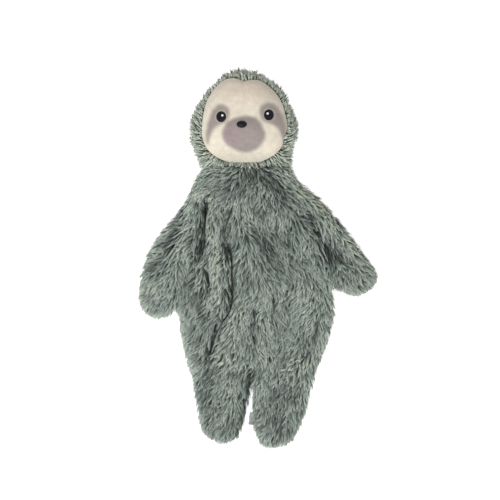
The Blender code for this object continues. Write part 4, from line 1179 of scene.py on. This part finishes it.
def soft_patch(xy, outline):
    """1 inside an outline and 0 outside it, with a soft edge."""
    t = climb(signed_distance(xy, smooth_closed(outline, PATCH_COUNT)), -PATCH_SOFTNESS, PATCH_SOFTNESS)
    return t * t * (3 - 2 * t)


def face_height(xy, offset=FACE_DEPTH):
    """Height of the face, with its muzzle and the hollows round its stitched eyes."""
    muzzle = np.exp(-(apart(xy, MUZZLE_CENTRE, MUZZLE_HALF) ** MUZZLE_POWER))
    z = head_height(xy, offset, 1) + MUZZLE_RISE * muzzle
    for eye in EYES:
        z -= EYE_DIP * bell(apart(xy, middle_half(eye)[0]) / EYE_DIP_REACH)
    return z


def face_ring(angle, share, offset):
    xy = HEAD_CENTRE + circle(angle) * (face_star(angle) * share)[:, None]
    tuck = FACE_TUCK * climb(share, TUCK_FROM, 1) ** 2
    return np.column_stack([xy, face_height(xy, offset) - tuck])


def face_piece():
    """The padded face, with its printed patches and a painted shade on its forehead as attributes."""
    angle = np.linspace(-math.pi, math.pi, FACE_TURNS, endpoint=False)
    outer = [face_ring(angle, share, FACE_DEPTH) for share in FACE_SHARES]
    inner = [face_ring(angle, share, FACE_DEPTH + FACE_THICK) for share in FACE_SHARES[::-INNER_STEP]]
    vertices, faces = loft((outer + inner)[::-1])
    piece = mesh_object("face", vertices, faces, face_cloth)
    xy = vertices[:, :2]
    muzzle = soft_patch(xy, MUZZLE_OUTLINE)
    halo = np.maximum(*(bell((apart(xy, *middle_half(eye)) - HALO_AT) / HALO_REACH) for eye in EYES))
    for name, strength, values in (
        ("halo", 0.55, halo),
        ("eye_patch", 0.95, np.maximum(soft_patch(xy, EYE_PATCH_RIGHT), soft_patch(xy, EYE_PATCH_LEFT))),
        ("muzzle", 0.97, muzzle),
        ("muzzle_rose", 0.8, muzzle * bell(apart(xy, ROSE_CENTRE) / ROSE_REACH)),
        ("round_nose", 0.45, muzzle * bell((xy[:, 1] - NOSE_Y) / NOSE_REACH)),
        ("mouth", 0.28, bell(beside_path(xy, MOUTH)[0] / MOUTH_REACH)),
        # painted shade at the top of the forehead
        ("blush", 0.45, bell(apart(xy, FOREHEAD_SHADE_CENTRE, FOREHEAD_SHADE_HALF))),
    ):
        attribute = piece.data.attributes.new(name, "FLOAT", "POINT")
        attribute.data.foreach_set("value", (strength * values).astype(np.float32))
    return piece


# stitched pads: places round them, rings over them, height of the edge, and ragged outline
PAD_TURNS, PAD_RINGS, PAD_EDGE, PAD_UNDER, PAD_SINK = 96, np.linspace(0.04, 1, 26), 0.35, 0.6, 0.25
RAGGED, RAGGED_WAVES, RAGGED_FROM, RIDGES_TO = 0.02, 29, 0.9, 0.97


def stitched(name, over, material, under, thickness, lean=0.0, stitch=0.42, ridge=0.09):
    """A domed pad of satin stitch over a CAD node's place, and the function of its height."""
    middle, half = middle_half(over)
    angle = np.linspace(0, math.tau, PAD_TURNS, endpoint=False)
    across = np.array([math.cos(lean), math.sin(lean)])

    def top(xy):
        share = apart(xy, middle, half)
        rise = between(PAD_EDGE, thickness, np.sqrt(np.maximum(0, 1 - share**2)))
        ridges = ridge * np.abs(np.sin((xy - middle) @ across * math.pi / stitch))
        return under(xy) + rise + ridges * (share < RIDGES_TO)

    def round_at(share):
        ragged = 1 + RAGGED * np.sin(angle * RAGGED_WAVES) * (share > RAGGED_FROM)
        return middle + circle(angle) * half * (share * ragged)[:, None]

    over_it = [round_at(share) for share in np.sin(PAD_RINGS * math.pi / 2)]
    rings = [np.column_stack([xy, top(xy)]) for xy in over_it]
    rings += [np.column_stack([xy, under(xy) - PAD_SINK]) for xy in (round_at(1.0), round_at(PAD_UNDER))]
    return mesh_object(name, *loft(rings[::-1]), material), top


# seam rolls: distance between rings, places round them, radius, its share at the ends, and its waves
ROLL_STEP, ROLL_TURNS, ROLL_RADIUS, ROLL_END = 1.1, 20, 1.75, 0.7
ROLL_WHIP, ROLL_SWELL, ROLL_ROUGH = (0.16, 2.4), (0.1, 0.7), (0.05, 3, 0.9)


def seam_roll(name):
    """A rolled, whipped seam allowance in the place of a seam roll."""
    start, end = seam_ends(name)
    length = math.dist(start, end)
    side = np.array([start[1] - end[1], end[0] - start[0]]) / length
    count = int(length / ROLL_STEP)
    turn = np.linspace(0, math.tau, ROLL_TURNS, endpoint=False)
    rings = []
    for k in range(count + 1):
        radius = ROLL_RADIUS + sum(height * math.sin(k * pace) for height, pace in (ROLL_WHIP, ROLL_SWELL))
        if k in (0, count):
            radius *= ROLL_END
        rough, bumps, pace = ROLL_ROUGH
        ring = radius * (1 + rough * np.cos(turn * bumps + k * pace))
        xy = between(start, end, k / count) + side * (np.cos(turn) * ring)[:, None]
        rings.append(np.column_stack([xy, SEWING_HEIGHT + np.sin(turn) * ring]))
    return mesh_object(name + "_roll", *loft(rings), seam_cloth)


FILLING_LESS, FILLING_LUMPS = 0.018, [(41, 9, 0.5), (42, 4, 0.25)]


def filling_piece():
    """The head's filling: the CAD solid made finer, a little smaller and lumpy."""
    rough = linked(frame["nodes"]["head_filling"].data.copy())
    modifier = rough.modifiers.new("finer", "SUBSURF")
    modifier.levels = modifier.render_levels = 1
    fine = rough.evaluated_get(bpy.context.evaluated_depsgraph_get()).to_mesh()
    places = np.array([vertex.co for vertex in fine.vertices]) / MM
    faces = [tuple(face.vertices) for face in fine.polygons]
    bpy.data.objects.remove(rough)
    size = 1 - FILLING_LESS * (1 + wavy(places, FILLING_LUMPS))
    return mesh_object("head_stuffing", between(places.mean(0), places, size[:, None]), faces, fibre)


# label: rows along it, places round its fold, half its thickness, the fold's bulge, its reach into the seam
LABEL_ROWS, LABEL_ARC, LABEL_HALF, LABEL_BULGE, LABEL_IN = 15, 13, 0.42, 0.55, 3.0
LABEL_UP, LABEL_OUT, LABEL_SLANT, LABEL_FOLD_WAVE, LABEL_WAVE = 1.6, 2.9, 0.9, (0.35, 0.9), (0.25, 0.55)


def label_piece():
    """A bare ribbon, folded over, with both ends in the leg's seam."""
    low, high = box_mm("sewn_in_label")
    turn = np.linspace(0.5, 1.5, LABEL_ARC) * math.pi
    lift = [LABEL_HALF, *(np.sin(turn) * LABEL_HALF), -LABEL_HALF]
    rings = []
    for k in range(LABEL_ROWS):
        y = high[1] + LABEL_UP + (low[1] - high[1]) * k / (LABEL_ROWS - 1)
        wave, fold_wave = (height * math.sin(k * pace) for height, pace in (LABEL_WAVE, LABEL_FOLD_WAVE))
        fold = low[0] + LABEL_OUT - LABEL_SLANT * k / LABEL_ROWS + fold_wave
        across = [high[0] + LABEL_IN, *(fold + np.cos(turn) * LABEL_BULGE), high[0] + LABEL_IN]
        rings.append([(x, y, SEWING_HEIGHT + wave + z) for x, z in zip(across, lift)])
    return mesh_object("bare_label", *loft(rings), ribbon)


# all pieces, on their bodies
def attach(piece, body, slot, *replaced, fill=None):
    """Rides a piece on a body, names its material slot, and puts it in the place of CAD nodes."""
    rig.ride(piece, body)
    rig.slot(piece, slot)
    if fill is not None:
        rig.padded(piece, fill=fill)
    if replaced:
        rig.replaces(piece, *replaced)


for piece, region in body_backing():
    bend(piece, region)
    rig.slot(piece, "long_pile_fur")
    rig.padded(piece, fill=0.15)
    if region != "neck":
        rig.replaces(piece, region + "_front_panel", region + "_back_panel")
for piece, region in body_piles():
    bend(piece, region)
    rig.slot(piece, "long_pile_fur")

attach(head_backing(), "head", "long_pile_fur", "head_hood_panel", "head_back_panel", fill=0.9)
for piece in head_pile():
    attach(piece, "head", "long_pile_fur")
attach(face_piece(), "head", "face_cloth", "face_panel", fill=0.9)

for side in ("right", "left"):
    eye, glint = "eye_" + side, "eye_glint_" + side
    piece, eye_top = stitched("eye_stitching_" + side, eye, thread_black, face_height, thickness=1.5)
    attach(piece, "head", "black_thread", eye)
    glint_name = "eye_glint_stitching_" + side
    piece, _ = stitched(glint_name, glint, thread_white, eye_top, thickness=0.45, stitch=0.4, ridge=0.03)
    attach(piece, "head", "white_thread", glint)
piece, _ = stitched("nose_stitching", "nose", thread_black, face_height, thickness=1.8, lean=0.1)
attach(piece, "head", "black_thread", "nose")

for seam in SEAM_WAYS:
    attach(seam_roll(seam), "torso", "seam_allowance", seam)
attach(filling_piece(), "head", "fibre_filling", "head_filling", fill=0.9)
attach(label_piece(), "leg_left", "label_ribbon", "sewn_in_label")

# studio, in metres: floor, world, light and camera
FLOOR_HALF, FLOOR_GREY, FLOOR_GLOW, WORLD_LEVEL, WHITE = 30.0, (0.80, 0.80, 0.80, 1), 0.78, 0.50, (1, 1, 1, 1)
KEY_AT, KEY_SIZE, KEY_POWER = (-0.65, -1.15, 2.2), 1.2, 50.0
CAMERA_AT, SENSOR, VIEW_WIDTH, CLIP_END = (-0.0080, 0.0085, 8.0), 36.0, 0.5, 100.0


def seen_white(tree):
    """1 for rays from the camera, gloss or glass, which see a plain white background, and 0 for others."""
    path = node(tree, "LightPath").outputs
    straight = maths(tree, "MAXIMUM", path["Is Camera Ray"], path["Is Glossy Ray"])
    return maths(tree, "MAXIMUM", straight, path["Is Transmission Ray"])


def floor_piece():
    material, tree, shader = new_material("floor")
    fill_in(tree, shader, Base_Color=FLOOR_GREY, Roughness=1.0, Specular_IOR_Level=0.0, Emission_Color=WHITE,
            Emission_Strength=maths(tree, "MULTIPLY", seen_white(tree), FLOOR_GLOW))
    corners = [(x * FLOOR_HALF / MM, y * FLOOR_HALF / MM, 0) for x, y in ((-1, -1), (1, -1), (1, 1), (-1, 1))]
    return mesh_object("floor", corners, [(0, 1, 2, 3)], material)


def studio_world():
    world = bpy.data.worlds.new("studio")
    world.use_nodes = True
    tree = world.node_tree
    level = node(tree, "MapRange", Value=seen_white(tree), To_Min=WORLD_LEVEL, To_Max=1.0)
    fill_in(tree, tree.nodes["Background"], Color=WHITE, Strength=level.outputs[0])
    return world


def key_light():
    light = bpy.data.lights.new("key", "AREA")
    light.shape = "SQUARE"
    light.size = KEY_SIZE
    light.energy = KEY_POWER
    lamp = linked(light)
    lamp.location = KEY_AT
    lamp.rotation_euler = (-Vector(KEY_AT)).to_track_quat("-Z", "Y").to_euler()


def photo_camera():
    lens = bpy.data.cameras.new("camera")
    lens.sensor_width = SENSOR
    lens.lens = SENSOR * (CAMERA_AT[2] - SEWING_HEIGHT * MM) / VIEW_WIDTH
    lens.clip_end = CLIP_END
    camera = linked(lens)
    camera.location = CAMERA_AT
    return camera


scene = bpy.context.scene
scene.view_settings.view_transform = "Standard"
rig.stage(floor_piece())
scene.world = studio_world()
key_light()
scene.camera = photo_camera()

visual_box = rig.bounds()
with open("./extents.json", "w") as out:
    json.dump({"cad": [list(corner) for corner in cad_box], "visual": [list(corner) for corner in visual_box]}, out)
